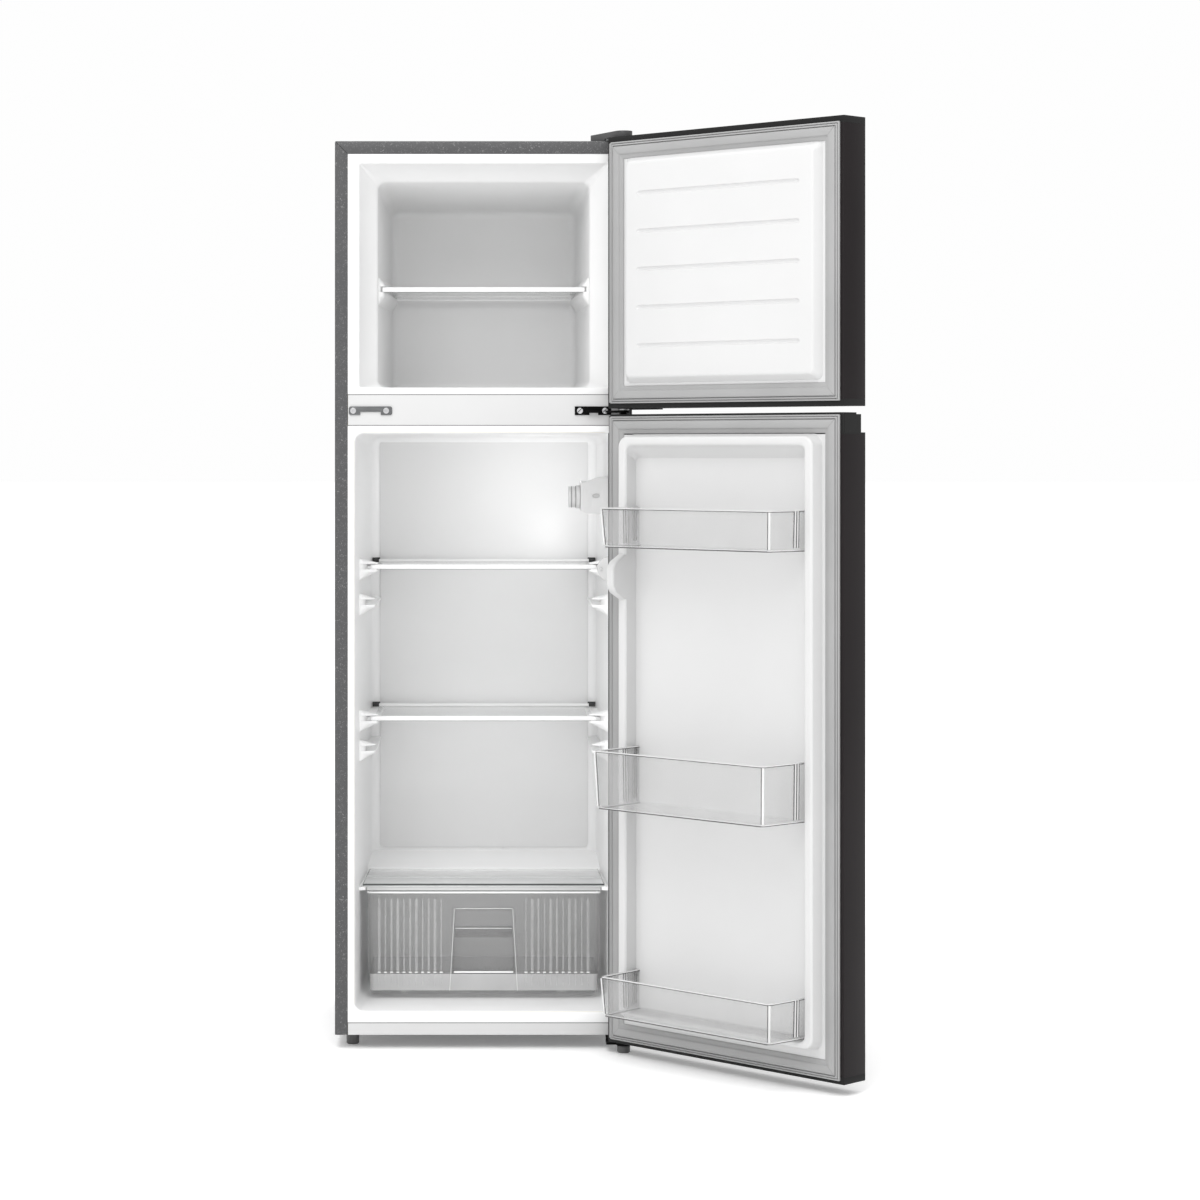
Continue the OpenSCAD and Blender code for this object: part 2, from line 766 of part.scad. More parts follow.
// Footprint of a box on the right wall between two depths, out to the half width given
module wall_box(x, y0, y1) {
    polygon([[x, y0], [wall_at(y0) - wall_gap, y0], [wall_at(y1) - wall_gap, y1], [x, y1]]);
}

module thermostat_housing() {
    color(white) difference() {
        intersection() {
            layer(stat_low, stat_high) wall_box(stat_half, stat_front, stat_back);
            upright(stat_front - 1, stat_back + 1)
                polygon([[stat_half, stat_low + 6], [stat_half + 14, stat_low], [260, stat_low],
                         [260, stat_high + 8], [stat_half + 36, stat_high], [stat_half, stat_high - 12]]);
        }
        rod_x(dial_y, dial_z, stat_half - 1, stat_half + 16, 3 + run_gap);
        translate([212, 0, 1022]) upright(stat_front - 1, stat_front + 1.5)
            round_rect([-7.5, -4.5], [7.5, 4.5], 4.4);
    }
}

// Frosted cover behind the thermostat, with the lamp inside
module lamp_cover() {
    color([0.96, 0.97, 0.97, 0.7]) difference() {
        layer(stat_low + 6, stat_high - 8) wall_box(stat_half + 2, stat_back + wall_gap, lamp_back);
        layer(stat_low + 8, stat_high - 10)
            polygon([[stat_half + 4, stat_back + 2], [wall_at(lamp_back) - 4, stat_back + 2],
                     [wall_at(lamp_back) - 4, lamp_back - 2], [stat_half + 4, lamp_back - 2]]);
    }
}

// Bulb with its cap towards the wall
module lamp_bulb() {
    x = 204;
    bulb_r = 10;
    cap_r = 7;
    end = wall_at(lamp_back) - 4 - x;
    color([0.98, 0.94, 0.85]) translate([x, stat_back + 30, dial_z]) rotate([0, 90, 0]) rotate_extrude()
        polygon(concat([[0, -bulb_r]], [for (a = [-75:15:45]) bulb_r * [cos(a), sin(a)]],
                       [[cap_r, bulb_r - 2], [cap_r, end], [0, end]]));
}

module thermostat_dial() {
    low = stat_half - 22.5;
    high = stat_half - 0.5;
    color(white) difference() {
        union() {
            rod_x(dial_y, dial_z, low, high - 8, dial_r - 2);
            rod_x(dial_y, dial_z, high - 8, high, dial_r);
            rod_x(dial_y, dial_z, high - 1, stat_half + 14, 3);
        }
        for (x = [low + 5, high - 9]) difference() {
            rod_x(dial_y, dial_z, x, x + 1.4, dial_r + 1);
            rod_x(dial_y, dial_z, x - 1, x + 3, dial_r - 3.5);
        }
        block([low - 1, dial_y - 1, dial_z + 8], [low + 1, dial_y + 1, dial_z + dial_r]);
    }
}

plunger_r = 2.6;
plunger_travel = 5;

// Half-round boss on the wall whose body passes through the liner
module light_switch_housing() {
    color(white) difference() {
        union() {
            intersection() {
                rod_y(switch_x, switch_z, switch_front, switch_back, switch_r);
                layer(switch_z - switch_r, switch_z + switch_r)
                    wall_box(switch_x - switch_r, switch_front, switch_back);
            }
            block([switch_x - 6, switch_front + 7, switch_z - 9],
                  [switch_x + 20, switch_back - 7, switch_z + 9]);
        }
        rod_y(plunger_x, switch_z, switch_front - 1, switch_front + 28, plunger_r + run_gap);
    }
}

module switch_plunger() {
    tip = switch_front - plunger_travel;
    color([0.85, 0.85, 0.85]) {
        rod_y(plunger_x, switch_z, tip + 1.5, switch_front + 18, plunger_r);
        translate([plunger_x, tip + 1.5, switch_z]) rotate([90, 0, 0])
            cylinder(h = 1.5, r1 = plunger_r, r2 = plunger_r - 1);
    }
}

shelf_front = 122;
shelf_back = 414;
trim_w = 11;
glass_t = 4;

// Glass pane between the depths y0 and y1 that narrows towards the back, lying at the height z
module pane(half0, half1, y0, y1, z, t) {
    color(glass_tint) layer(z, z + t)
        polygon([[-half0, y0], [half0, y0], [half1, y1], [-half1, y1]]);
}

// Front and rear plastic trims of a shelf, slotted over the edges of its pane
module trims(half0, half1, y0, y1, z, rear_h) {
    color(white) difference() {
        union() {
            layer(z, z + 8.6) round_rect([-half0, y0], [half0, y0 + trim_w], 3);
            layer(z, z + rear_h) translate([-half1, y1 - 8]) square([2 * half1, 8]);
        }
        layer(z, z + glass_t)
            polygon([[-half0 + 3, y0 + 6], [half0 - 3, y0 + 6],
                     [half1 - 1.5, y1 - 4], [-half1 + 1.5, y1 - 4]]);
    }
}

module fridge_shelf_glass(z) {
    pane(shelf_half - 3, shelf_half - 6, shelf_front + 6, shelf_back - 4, z - groove_h + 0.2, glass_t);
}

module fridge_shelf_trims(z) {
    trims(shelf_half, shelf_half - 4.5, shelf_front, shelf_back, z - groove_h + 0.2, 9);
}

module upper_shelf_glass() { fridge_shelf_glass(shelf_z[0]); }
module upper_shelf_trims() { fridge_shelf_trims(shelf_z[0]); }
module lower_shelf_glass() { fridge_shelf_glass(shelf_z[1]); }
module lower_shelf_trims() { fridge_shelf_trims(shelf_z[1]); }

freezer_shelf_half = [189, 176.5];
freezer_shelf_y = [62, 376];

module freezer_shelf_glass() {
    pane(freezer_shelf_half[0] - 3, freezer_shelf_half[1] - 1.5,
         freezer_shelf_y[0] + 6, freezer_shelf_y[1] - 4, freezer_shelf_z - groove_h + 0.2, glass_t);
}

module freezer_shelf_trims() {
    trims(freezer_shelf_half[0], freezer_shelf_half[1], freezer_shelf_y[0], freezer_shelf_y[1],
          freezer_shelf_z - groove_h + 0.2, 9);
}

module crisper_cover_glass() {
    pane(228, 223, drawer_front, 318, cover_z, 5);
}

// Strip below the front edge of the crisper's cover
module crisper_cover_trim() {
    color(white) block([-221, drawer_front + 3, drawer_high + 2], [221, drawer_front + 11, cover_z]);
}

drawer_half = 220.5;
drawer_draft = 6;      // how much each side leans in towards the floor of the drawer
grip_half = 59;
grip_depth = 12;
grip_z = [92, 243];

// Outline of the drawer shrunk by g, from the height z0 to z1
module drawer_form(g, z0, z1) {
    hull() {
        layer(z0, z0 + thin)
            round_rect([-drawer_half + drawer_draft + g, drawer_front + 3 + g],
                       [drawer_half - drawer_draft - g, drawer_back - 4 - g], 10, $fn = 32);
        layer(z1 - rim_h, z1)
            round_rect([-drawer_half + g, drawer_front + g],
                       [drawer_half - g, drawer_back - g], 10, $fn = 32);
    }
}

module crisper_drawer() {
    color(clear_grey) difference() {
        drawer_form(0, drawer_low, drawer_high);
        difference() {
            drawer_form(rack_t, drawer_low + 2.5, drawer_high + 0.1);
            block([-grip_half - rack_t, drawer_front, grip_z[0] - rack_t],
                  [grip_half + rack_t, drawer_front + grip_depth + rack_t, grip_z[1] + rack_t]);
        }
        block([-grip_half, drawer_front - 1, grip_z[0]], [grip_half, drawer_front + grip_depth, grip_z[1]]);
    }
}

// ---------- doors, built closed ----------

cap_h = 12;
skin_t = 0.8;
panel_half = 262;      // half width of the flat rim of the door liners
raised_y = 19.5;       // reach of the raised frame behind the cabinet's front plane
panel_y = -23.5;       // depth of the recessed panel of the fresh food door

// Swings a closed door open about the hinge line
module swung() {
    translate([pin_x, pin_y, 0]) rotate(door_angle) translate([-pin_x, -pin_y, 0]) children();
}

free_edge_r = 5;       // radius of the front edge on the free side
swing_air = 2;         // air between the swinging door and the cabinet

// Radius of the front edge on the hinge side, which lets it pass the cabinet's front
hinge_edge_r = (half_w - pin_x + door_front + pin_y + sqrt(2) * (pin_y + swing_air)) / (2 - sqrt(2));

// Floor plan of a door, shrunk by g, with rounded front edges
module door_plan(g) {
    free = [-half_w + free_edge_r, -door_front + free_edge_r];
    hinged = [half_w - hinge_edge_r, -door_front + hinge_edge_r];
    polygon(concat([[-half_w + g, -door_back - g]],
                   [for (a = [180:15:270]) free + (free_edge_r - g) * [cos(a), sin(a)]],
                   [for (a = [270:7.5:360]) hinged + (hinge_edge_r - g) * [cos(a), sin(a)]],
                   [[half_w - g, -door_back - g]]));
}

// Painted steel sheet around the front and sides of a door
module door_skin(z0, z1) {
    color(door_grey) layer(z0, z1) difference() {
        door_plan(0);
        door_plan(skin_t);
        translate([-panel_half - 0.4, -door_back - 4]) square([2 * panel_half + 0.8, 6]);
    }
}

// Hinge bore in a door's end cap
module pin_bore(z0, z1) {
    post(pin_x, pin_y, z0, z1, pin_r + run_gap);
}

// Moulded end cap with the hinge bore
module end_cap(z0, z1) {
    color(plastic_black) difference() {
        layer(z0, z1) door_plan(0);
        pin_bore(z0 - 1, z1 + 1);
    }
}

// End cap whose lower face carries the bar that stops the open door
module stop_cap(z0) {
    end_cap(z0, z0 + cap_h);
    color(plastic_black) block([178, -50, z0 - 2.4], [246, -37, z0]);
}

// Foam inside a door, between its end caps and behind its liner
module door_core(z0, z1) {
    layer(z0 + gap, z1 - gap) difference() {
        door_plan(skin_t + gap);
        translate([-half_w, -door_back - liner_t - gap]) square([cabinet_w, 10]);
    }
}

// Flexible seal around the inner face of a door
module gasket(z0, z1, inner_z0, inner_z1) {
    color(gasket_grey) difference() {
        upright(-door_back, -1.5) round_rect([-half_w + 8, z0], [half_w - 8, z1], 4);
        upright(-door_back - 1, 0) round_rect([-235, inner_z0], [235, inner_z1], 6);
    }
}

// Flat rim of a door liner
module liner_rim(z0, z1) {
    block([-panel_half, -door_back - liner_t, z0], [panel_half, -door_back, z1]);
}

plateau = [1231, 1641];

// Raised panel of the freezer door's liner, shrunk by g
module plateau_form(g) {
    hull() {
        slab(228 - g, plateau[0] + g, plateau[1] - g, 10, -door_back - (g > 0 ? liner_t + 1 : thin));
        slab(217 - g, plateau[0] + 11 + g, plateau[1] - 9 - g, 10, 8 - g - thin);
    }
}

groove_zs = [for (i = [0:4]) 1298 + 69.25 * i];

module freezer_door_liner() {
    swung() color(white) difference() {
        union() {
            liner_rim(freezer_door_low + cap_h + gap, freezer_door_high - cap_h - gap);
            plateau_form(0);
        }
        plateau_form(liner_t);
        for (z = groove_zs) rod_x(8 + 1.6, z, -190, 190, 2.4);
    }
}

module freezer_door_skin() { swung() door_skin(freezer_door_low + cap_h, freezer_door_high - cap_h); }
module freezer_door_top_cap() { swung() end_cap(freezer_door_high - cap_h, freezer_door_high); }
module freezer_door_bottom_cap() { swung() stop_cap(freezer_door_low); }
module freezer_door_gasket() { swung() gasket(1193.6, 1673, 1222.7, 1644); }

module freezer_door_foam() {
    swung() color(foam_cream) {
        door_core(freezer_door_low + cap_h, freezer_door_high - cap_h);
        difference() {
            plateau_form(liner_t + gap);
            for (z = groove_zs) block([-192, 4, z - 4], [192, 10, z + 4]);
        }
    }
}

frame_z = [74, 1135];  // raised frame of the fresh food door's liner
frame_top = 38;        // height of the frame's sloped upper part
grip_low = fridge_door_high - grip_h;

// Raised frame before its middle is recessed, shrunk by g
module frame_form(g) {
    hull() {
        slab(228 - g, frame_z[0] + g, frame_z[1] - g, 20, -door_back - (g > 0 ? liner_t + 1 : thin));
        slab(226.5 - g, frame_z[0] + 3 + g, frame_z[1] - 2 - g, 20, raised_y - g - thin);
    }
}

// Recess between the sides of the raised frame, grown by g
module recess_form(g) {
    front = raised_y + (g > 0 ? -g : 1);
    hull() {
        slab(208 + g, frame_z[0] + 14 - g, frame_z[1] - 14 + g, 8, front - thin);
        slab(208 + g, frame_z[0] + 17 - g, frame_z[1] - 14 - frame_top + g, 8, panel_y - g);
    }
}

// Lugs on the sides of the recess that carry one rack
module rack_lugs(rack) {
    both_sides() block([203, -14, rack[0] + 12], [208.8, -4, rack[0] + rack[1] - 14]);
}

module fridge_door_liner() {
    swung() color(white) {
        difference() {
            union() {
                difference() {
                    union() {
                        liner_rim(fridge_door_low + cap_h + gap, grip_low - gap);
                        frame_form(0);
                    }
                    frame_form(liner_t);
                }
                recess_form(liner_t);
            }
            recess_form(0);
        }
        for (rack = [upper_rack_size, middle_rack_size, lower_rack_size]) rack_lugs(rack);
        switch_tab();
    }
}

// Hump on the frame that presses the light switch when the door is closed
module switch_tab() {
    low = switch_z - 50;
    high = switch_z + 34;
    translate([210.5, 0, 0]) rotate([90, 0, 90]) linear_extrude(14)
        polygon([[raised_y - 1, low], [44, low + 14], [52, low + 26],
                 [52, high - 26], [44, high - 14], [raised_y - 1, high]]);
}

module fridge_door_skin() { swung() door_skin(fridge_door_low + cap_h, grip_low); }
module fridge_door_bottom_cap() { swung() stop_cap(fridge_door_low); }
module fridge_door_gasket() { swung() gasket(27, 1170, 56, 1137); }

// Cap that is set back at the front, so that fingers reach over the top of the door's skin
module fridge_door_top_cap() {
    lip = 3;
    swung() color(plastic_black) difference() {
        union() {
            layer(grip_low, grip_low + 3) door_plan(0);
            layer(grip_low, fridge_door_high - lip)
                round_rect([-half_w, -door_front + 13], [half_w, -door_back], 3);
            layer(fridge_door_high - lip, fridge_door_high)
                round_rect([-half_w + 3, -door_front + 22], [half_w - 3, -door_back], 3);
        }
        block([-half_w + 4, -door_front + 17, grip_low - 1],
              [pin_x - 18, -door_back - 4, fridge_door_high - 8]);
        pin_bore(fridge_door_high - 24, fridge_door_high + 1);
    }
}

module fridge_door_foam() {
    swung() color(foam_cream) {
        difference() {
            union() {
                door_core(fridge_door_low + cap_h, grip_low);
                frame_form(liner_t + gap);
            }
            recess_form(liner_t + gap);
        }
    }
}

// ---------- door racks, built in the closed door ----------

rack_half = 201;
rack_back = -22;
rim_h = 0.2;           // upright rim at the top of a leaning wall

// Outline of a rack shrunk by g, between two heights
module rack_form(rack, g, z0, z1) {
    lean = 4;
    hull() {
        layer(z0, z0 + thin) rack_plan(193 - g, rack[2] - lean - g, g);
        layer(z1 - rim_h, z1) rack_plan(197 - g, rack[2] - g, g);
    }
}

// Floor plan of a rack that is half wide at its front edge
module rack_plan(half, front, g) {
    r = 6;
    for (side = [-1, 1]) translate([side * (half - r), front - r]) circle(r, $fn = 32);
    translate([-rack_half + g, rack_back + g]) square([2 * (rack_half - g), 30]);
}

// Clear tray with a channel on each end that drops over a lug
module rack(size) {
    top = size[0] + size[1];
    color(clear_grey) difference() {
        union() {
            rack_form(size, 0, size[0], top);
            both_sides() difference() {
                block([rack_half - 1, -20, size[0] + 8], [206.8, 2, top]);
                block([rack_half, -14.6, size[0] + 7], [208, -3.4, top - 13.6]);
            }
        }
        rack_form(size, rack_t, size[0] + 2.5, top + 0.1);
    }
}

module upper_rack() { swung() rack(upper_rack_size); }
module middle_rack() { swung() rack(middle_rack_size); }
module lower_rack() { swung() rack(lower_rack_size); }

outer_shell();
back_panel();
base_plate();
cabinet_foam();
freezer_liner();
fridge_liner();
mullion_cover();
bottom_rail();
compressor();
compressor_grommets();
terminal_cover();
drip_tray();
refrigerant_pipes();
condenser_coil();
evaporator();
drain_tube();
top_hinge();
top_hinge_cover();
middle_hinge();
bottom_hinge();
hinge_screws();
hinge_washers();
blank_hinge_plate();
cord_gland();
thermostat_housing();
lamp_cover();
lamp_bulb();
light_switch_housing();
roller_axles();
left_foot();
right_foot();
left_roller();
right_roller();
thermostat_dial();
switch_plunger();
upper_shelf_glass();
upper_shelf_trims();
lower_shelf_glass();
lower_shelf_trims();
freezer_shelf_glass();
freezer_shelf_trims();
crisper_cover_glass();
crisper_cover_trim();
crisper_drawer();
freezer_door_skin();
freezer_door_top_cap();
freezer_door_bottom_cap();
freezer_door_foam();
freezer_door_liner();
freezer_door_gasket();
fridge_door_skin();
fridge_door_top_cap();
fridge_door_bottom_cap();
fridge_door_foam();
fridge_door_liner();
fridge_door_gasket();
upper_rack();
middle_rack();
lower_rack();
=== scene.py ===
"""Looks for the two-door refrigerator: materials, detailed pieces, light and camera."""
import json
import math

import bmesh
import bpy
from mathutils import Matrix, Vector


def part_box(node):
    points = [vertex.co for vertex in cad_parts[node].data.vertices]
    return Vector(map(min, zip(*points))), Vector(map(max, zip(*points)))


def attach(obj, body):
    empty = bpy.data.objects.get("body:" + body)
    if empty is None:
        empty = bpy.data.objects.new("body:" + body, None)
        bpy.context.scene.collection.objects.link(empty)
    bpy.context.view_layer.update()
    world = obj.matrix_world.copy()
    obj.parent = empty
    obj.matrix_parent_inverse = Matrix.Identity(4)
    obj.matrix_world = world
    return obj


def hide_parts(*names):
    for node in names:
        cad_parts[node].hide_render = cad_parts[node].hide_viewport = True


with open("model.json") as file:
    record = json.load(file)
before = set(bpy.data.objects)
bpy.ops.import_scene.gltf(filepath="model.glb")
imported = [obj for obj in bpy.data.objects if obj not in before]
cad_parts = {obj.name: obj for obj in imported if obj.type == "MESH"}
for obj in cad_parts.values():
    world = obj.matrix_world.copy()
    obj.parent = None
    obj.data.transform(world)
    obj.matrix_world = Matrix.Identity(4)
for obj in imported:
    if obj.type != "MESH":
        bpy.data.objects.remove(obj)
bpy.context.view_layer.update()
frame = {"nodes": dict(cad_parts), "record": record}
nodes = frame["nodes"]

MM = 0.001

# ---------- lengths of the cabinet, in millimetres ----------

shell_low, shell_high = [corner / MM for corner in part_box("outer_shell")]
half_w = shell_high.x
cabinet_top = shell_high.z
cabinet_low = shell_low.z
cabinet_back = shell_high.y
beam_low, beam_high = [corner.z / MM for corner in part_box("mullion_cover")]
rail_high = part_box("bottom_rail")[1].z / MM
flange_w = half_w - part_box("mullion_cover")[1].x / MM

PIN = Vector((258.0, -31.5, 0.0))
OPEN_ANGLE = math.radians(135)
OPENED = (Matrix.Translation(PIN) @ Matrix.Rotation(OPEN_ANGLE, 4, "Z") @ Matrix.Translation(-PIN))


# ---------- materials ----------

def graph(name):
    """A new node material and its shader."""
    mat = bpy.data.materials.new(name)
    mat.use_nodes = True
    return mat, mat.node_tree, mat.node_tree.nodes["Principled BSDF"]


def noise(tree, scale, detail=3.0, rough=0.5, distort=0.0, stretch=(1, 1, 1)):
    """Noise over the object's own coordinates, in cycles per metre."""
    place = tree.nodes.new("ShaderNodeTexCoord")
    mapping = tree.nodes.new("ShaderNodeMapping")
    mapping.inputs["Scale"].default_value = stretch
    tree.links.new(place.outputs["Object"], mapping.inputs["Vector"])
    tex = tree.nodes.new("ShaderNodeTexNoise")
    tex.inputs["Scale"].default_value = scale
    tex.inputs["Detail"].default_value = detail
    tex.inputs["Roughness"].default_value = rough
    tex.inputs["Distortion"].default_value = distort
    tree.links.new(mapping.outputs["Vector"], tex.inputs["Vector"])
    return tex.outputs["Fac"]


def ramp(tree, value, stops):
    """Colours over a value. Each stop is (position, colour)."""
    node = tree.nodes.new("ShaderNodeValToRGB")
    while len(node.color_ramp.elements) < len(stops):
        node.color_ramp.elements.new(0.5)
    for element, (position, colour) in zip(node.color_ramp.elements, stops):
        element.position = position
        element.color = (*colour, 1)
    tree.links.new(value, node.inputs["Fac"])
    return node.outputs["Color"]


def bump(tree, shader, height, strength, distance):
    """Bump from a height."""
    node = tree.nodes.new("ShaderNodeBump")
    node.inputs["Strength"].default_value = strength
    node.inputs["Distance"].default_value = distance
    tree.links.new(height, node.inputs["Height"])
    tree.links.new(node.outputs["Normal"], shader.inputs["Normal"])


def grey(tone):
    """Neutral colour of one tone."""
    return (tone, tone, tone)


def shades(colour, spread):
    """Two colours a little below and above the one given."""
    low = tuple(max(0.0, c * (1 - spread)) for c in colour)
    high = tuple(min(1.0, c * (1 + spread)) for c in colour)
    return low, high


def plain(name, colour, rough, metal=0.0, spread=0.03, cloud=6, grain=900, relief=0.05, depth=0.0002,
          spec=0.5, stretch=(1, 1, 1), distort=0.0):
    """Moulded, painted or bare surface with a faint cloud of tone, a fine grain and varied gloss."""
    mat, tree, shader = graph(name)
    low, high = shades(colour, spread)
    tone = noise(tree, cloud, 2.0)
    tree.links.new(ramp(tree, tone, [(0.3, low), (0.7, high)]), shader.inputs["Base Color"])
    fine = noise(tree, grain, 2.0, 0.6, distort, stretch)
    gloss = ramp(tree, fine, [(0.3, grey(rough * 0.9)), (0.7, grey(min(1.0, rough * 1.1)))])
    tree.links.new(gloss, shader.inputs["Roughness"])
    if relief:
        bump(tree, shader, fine, relief, depth)
    shader.inputs["Metallic"].default_value = metal
    shader.inputs["Specular IOR Level"].default_value = spec
    return mat


def moulded(name, tone, rough=0.36):
    """Smooth moulded plastic of one tone."""
    return plain(name, grey(tone), rough, spread=0.01, grain=420, relief=0.03)


def grained_paint(name, colour, light, scale, relief):
    """Paint over embossed steel, with a vein grain whose crests are painted in a light colour as painted
    glints.
    """
    mat, tree, shader = graph(name)
    veins = noise(tree, scale, 4.0, 0.62, 1.6)
    low, high = shades(colour, 0.12)
    # the lightest stop paints glints onto the vein crests: painted highlights
    tree.links.new(ramp(tree, veins, [(0.0, low), (0.52, colour), (0.60, high), (0.68, light)]),
                   shader.inputs["Base Color"])
    gloss = ramp(tree, veins, [(0.35, grey(0.55)), (0.65, grey(0.30))])
    tree.links.new(gloss, shader.inputs["Roughness"])
    bump(tree, shader, veins, relief, 0.0004)
    shader.inputs["Specular IOR Level"].default_value = 0.5
    return mat


def clear(name, colour, alpha, rough, spec=0.5):
    """Thin clear plastic or glass, seen through by its alpha."""
    mat, tree, shader = graph(name)
    low, high = shades(colour, 0.05)
    cloud = noise(tree, 14, 2.0)
    tree.links.new(ramp(tree, cloud, [(0.3, low), (0.7, high)]), shader.inputs["Base Color"])
    fine = noise(tree, 160, 2.0)
    gloss = ramp(tree, fine, [(0.3, grey(rough * 0.8)), (0.7, grey(rough * 1.3))])
    tree.links.new(gloss, shader.inputs["Roughness"])
    shader.inputs["Alpha"].default_value = alpha
    shader.inputs["Specular IOR Level"].default_value = spec
    return mat


MATERIALS = {
    "shell_paint": grained_paint("grey_grained_paint", (0.063, 0.063, 0.065), grey(0.26), 260, 0.35),
    "door_paint": plain("dark_door_paint", (0.0130, 0.0106, 0.0113), 0.42, spread=0.08, grain=500,
                        relief=0.10, stretch=(1, 1, 0.04), spec=0.14),
    "bare_steel": plain("galvanised_steel", (0.15, 0.153, 0.156), 0.36, 0.9, spread=0.12, cloud=35,
                        grain=260, relief=0.06, distort=0.8),
    "black_steel": plain("black_steel_enamel", grey(0.003), 0.40, spread=0.15, grain=700, spec=0.05),
    "white_plastic": plain("white_plastic", grey(0.63), 0.36, spread=0.012, grain=420, relief=0.03),
    "black_plastic": plain("black_plastic", grey(0.013), 0.46, spread=0.12, grain=1400, relief=0.10,
                           spec=0.14),
    "grey_plastic": plain("grey_plastic", (0.052, 0.052, 0.053), 0.45, spread=0.08, grain=1200,
                          relief=0.10, spec=0.35),
    "rubber": plain("black_rubber", grey(0.018), 0.72, spread=0.15, grain=1600, relief=0.15),
    "seal": plain("grey_seal", grey(0.335), 0.55, spread=0.04, cloud=9, grain=500, relief=0.08),
    "insulation": plain("cream_foam", (0.78, 0.70, 0.50), 0.9, spread=0.08, cloud=30, grain=220,
                        relief=0.5, depth=0.001),
    "copper_tube": plain("copper", (0.72, 0.34, 0.20), 0.32, 1.0, spread=0.12, cloud=40, grain=600),
    "aluminium_plate": plain("aluminium", (0.78, 0.78, 0.79), 0.34, 1.0, spread=0.06, cloud=20,
                             grain=500),
    "shelf_glass": clear("shelf_glass", (0.80, 0.83, 0.82), 0.16, 0.04, 0.8),
    "clear_plastic": clear("clear_grey_plastic", grey(0.50), 0.20, 0.10, 0.5),
    "lamp_lens": clear("frosted_lens", grey(0.92), 0.75, 0.35),
    "lamp_glass": plain("lamp_glass", (0.90, 0.88, 0.82), 0.15, spread=0.03),
}

# tones that only a few pieces have
# the doors' white plastic set much lighter for the fresh food compartment's inside: painted light
LINER_PAINTED_LIGHT = moulded("liner_plastic_painted_light", 0.91)
# the same liner plastic set darker for the freezer's inside and its rails: painted shade
FREEZER_LINER_PAINTED_SHADE = moulded("freezer_liner_painted_shade", 0.79)
BACK_WHITE = moulded("back_plate_plastic", 0.80)
COVER_WHITE = moulded("cover_plastic", 0.60)
TRIM = moulded("trim_plastic", 0.86, 0.34)
# grey of the plate on the fridge door hollow's hinge side: painted shade
HOLLOW_SIDE_SHADE = moulded("side_painted_shade", 0.57, 0.42)
MARK_GREY = plain("mark_grey", grey(0.50), 0.5)
SEAM_GREY = plain("seam_grey", grey(0.22), 0.6)
SEAL_SHADE = plain("seal_shade", grey(0.27), 0.6)
FOOT_GREY = plain("foot_grey", grey(0.085), 0.45, spread=0.08)
SCREW_STEEL = plain("screw_steel", (0.55, 0.55, 0.56), 0.30, 0.9, spread=0.10, cloud=60, grain=800)

# edges and faces of the clear parts, lighter or darker than the part itself; among them are painted
# highlights, painted light and painted shade
# bright edge lines of the clear parts: painted highlights
EDGE_HIGHLIGHT = clear("plastic_edge_painted_highlight", grey(0.86), 0.70, 0.12, 0.7)
# dark edge lines of the clear racks: painted shade
EDGE_SHADE = clear("plastic_edge_painted_shade", grey(0.16), 0.62, 0.20)
GLINT = clear("bright_edge_light", grey(0.95), 0.92, 0.10, 0.7)
DRAWER_PLASTIC = clear("drawer_plastic", grey(0.52), 0.20, 0.12, 0.6)
FLUTE = clear("flute_plastic", grey(0.80), 0.26, 0.14, 0.6)
# pale band at the drawer's foot: painted light
DRAWER_FOOT_PAINTED_LIGHT = clear("drawer_foot_painted_light", grey(0.92), 0.32, 0.14, 0.6)
GRIP_SHADE = clear("grip_shade_plastic", grey(0.22), 0.34, 0.14)
GLASS_EDGE = clear("dark_glass_edge", (0.04, 0.045, 0.045), 0.92, 0.12, 0.6)
# cover glass set whiter and less clear than the shelf glass: painted light over the shade under it
COVER_GLASS_PAINTED_LIGHT = clear("cover_glass", (0.94, 0.95, 0.95), 0.42, 0.04, 0.8)

slot_of = {part["node"]: part["material_slot"] for part in frame["record"]["subparts"]}


# ---------- mesh helpers, in millimetres ----------

def face(bm, verts):
    """One face, unless two of its corners are the same."""
    if len(set(verts)) == len(verts):
        bm.faces.new(verts)


def grid(bm, rows, wrap_rows=False, wrap_cols=True):
    """Skin over rows of points, which can close on itself both ways."""
    lines = [[bm.verts.new(p) for p in row] for row in rows]
    count = len(lines[0])
    pairs = list(zip(lines, lines[1:])) + ([(lines[-1], lines[0])] if wrap_rows else [])
    for a, b in pairs:
        for i in range(count if wrap_cols else count - 1):
            j = (i + 1) % count
            face(bm, [a[i], a[j], b[j], b[i]])
    if wrap_cols and not wrap_rows:
        face(bm, lines[0][::-1])
        face(bm, lines[-1])
    if wrap_rows and not wrap_cols:
        face(bm, [line[0] for line in lines])
        face(bm, [line[-1] for line in lines][::-1])
    return lines


def ring(x0, x1, z0, z1, r, y, n=8):
    """Upright rectangle with round corners at the depth y."""
    corners = ((x1 - r, z1 - r), (x0 + r, z1 - r), (x0 + r, z0 + r), (x1 - r, z0 + r))
    points = []
    for quarter, (cx, cz) in enumerate(corners):
        for i in range(n + 1):
            t = math.radians(90 * quarter + 90 * i / n)
            points.append((cx + r * math.cos(t), y, cz + r * math.sin(t)))
    return points


def rings(bm, stations, wrap=False, n=8):
    """Skin over upright rectangles. Each station is (half width, low, high, corner radius, depth)."""
    rows = [ring(-half, half, low, high, max(r, 0.01), y, n) for half, low, high, r, y in stations]
    return grid(bm, rows, wrap_rows=wrap)


def flat_ring(x0, x1, y0, y1, r, z):
    """Level rectangle with round corners at the height z."""
    return [(x, y, z) for x, _, y in ring(x0, x1, y0, y1, r, 0, 6)]


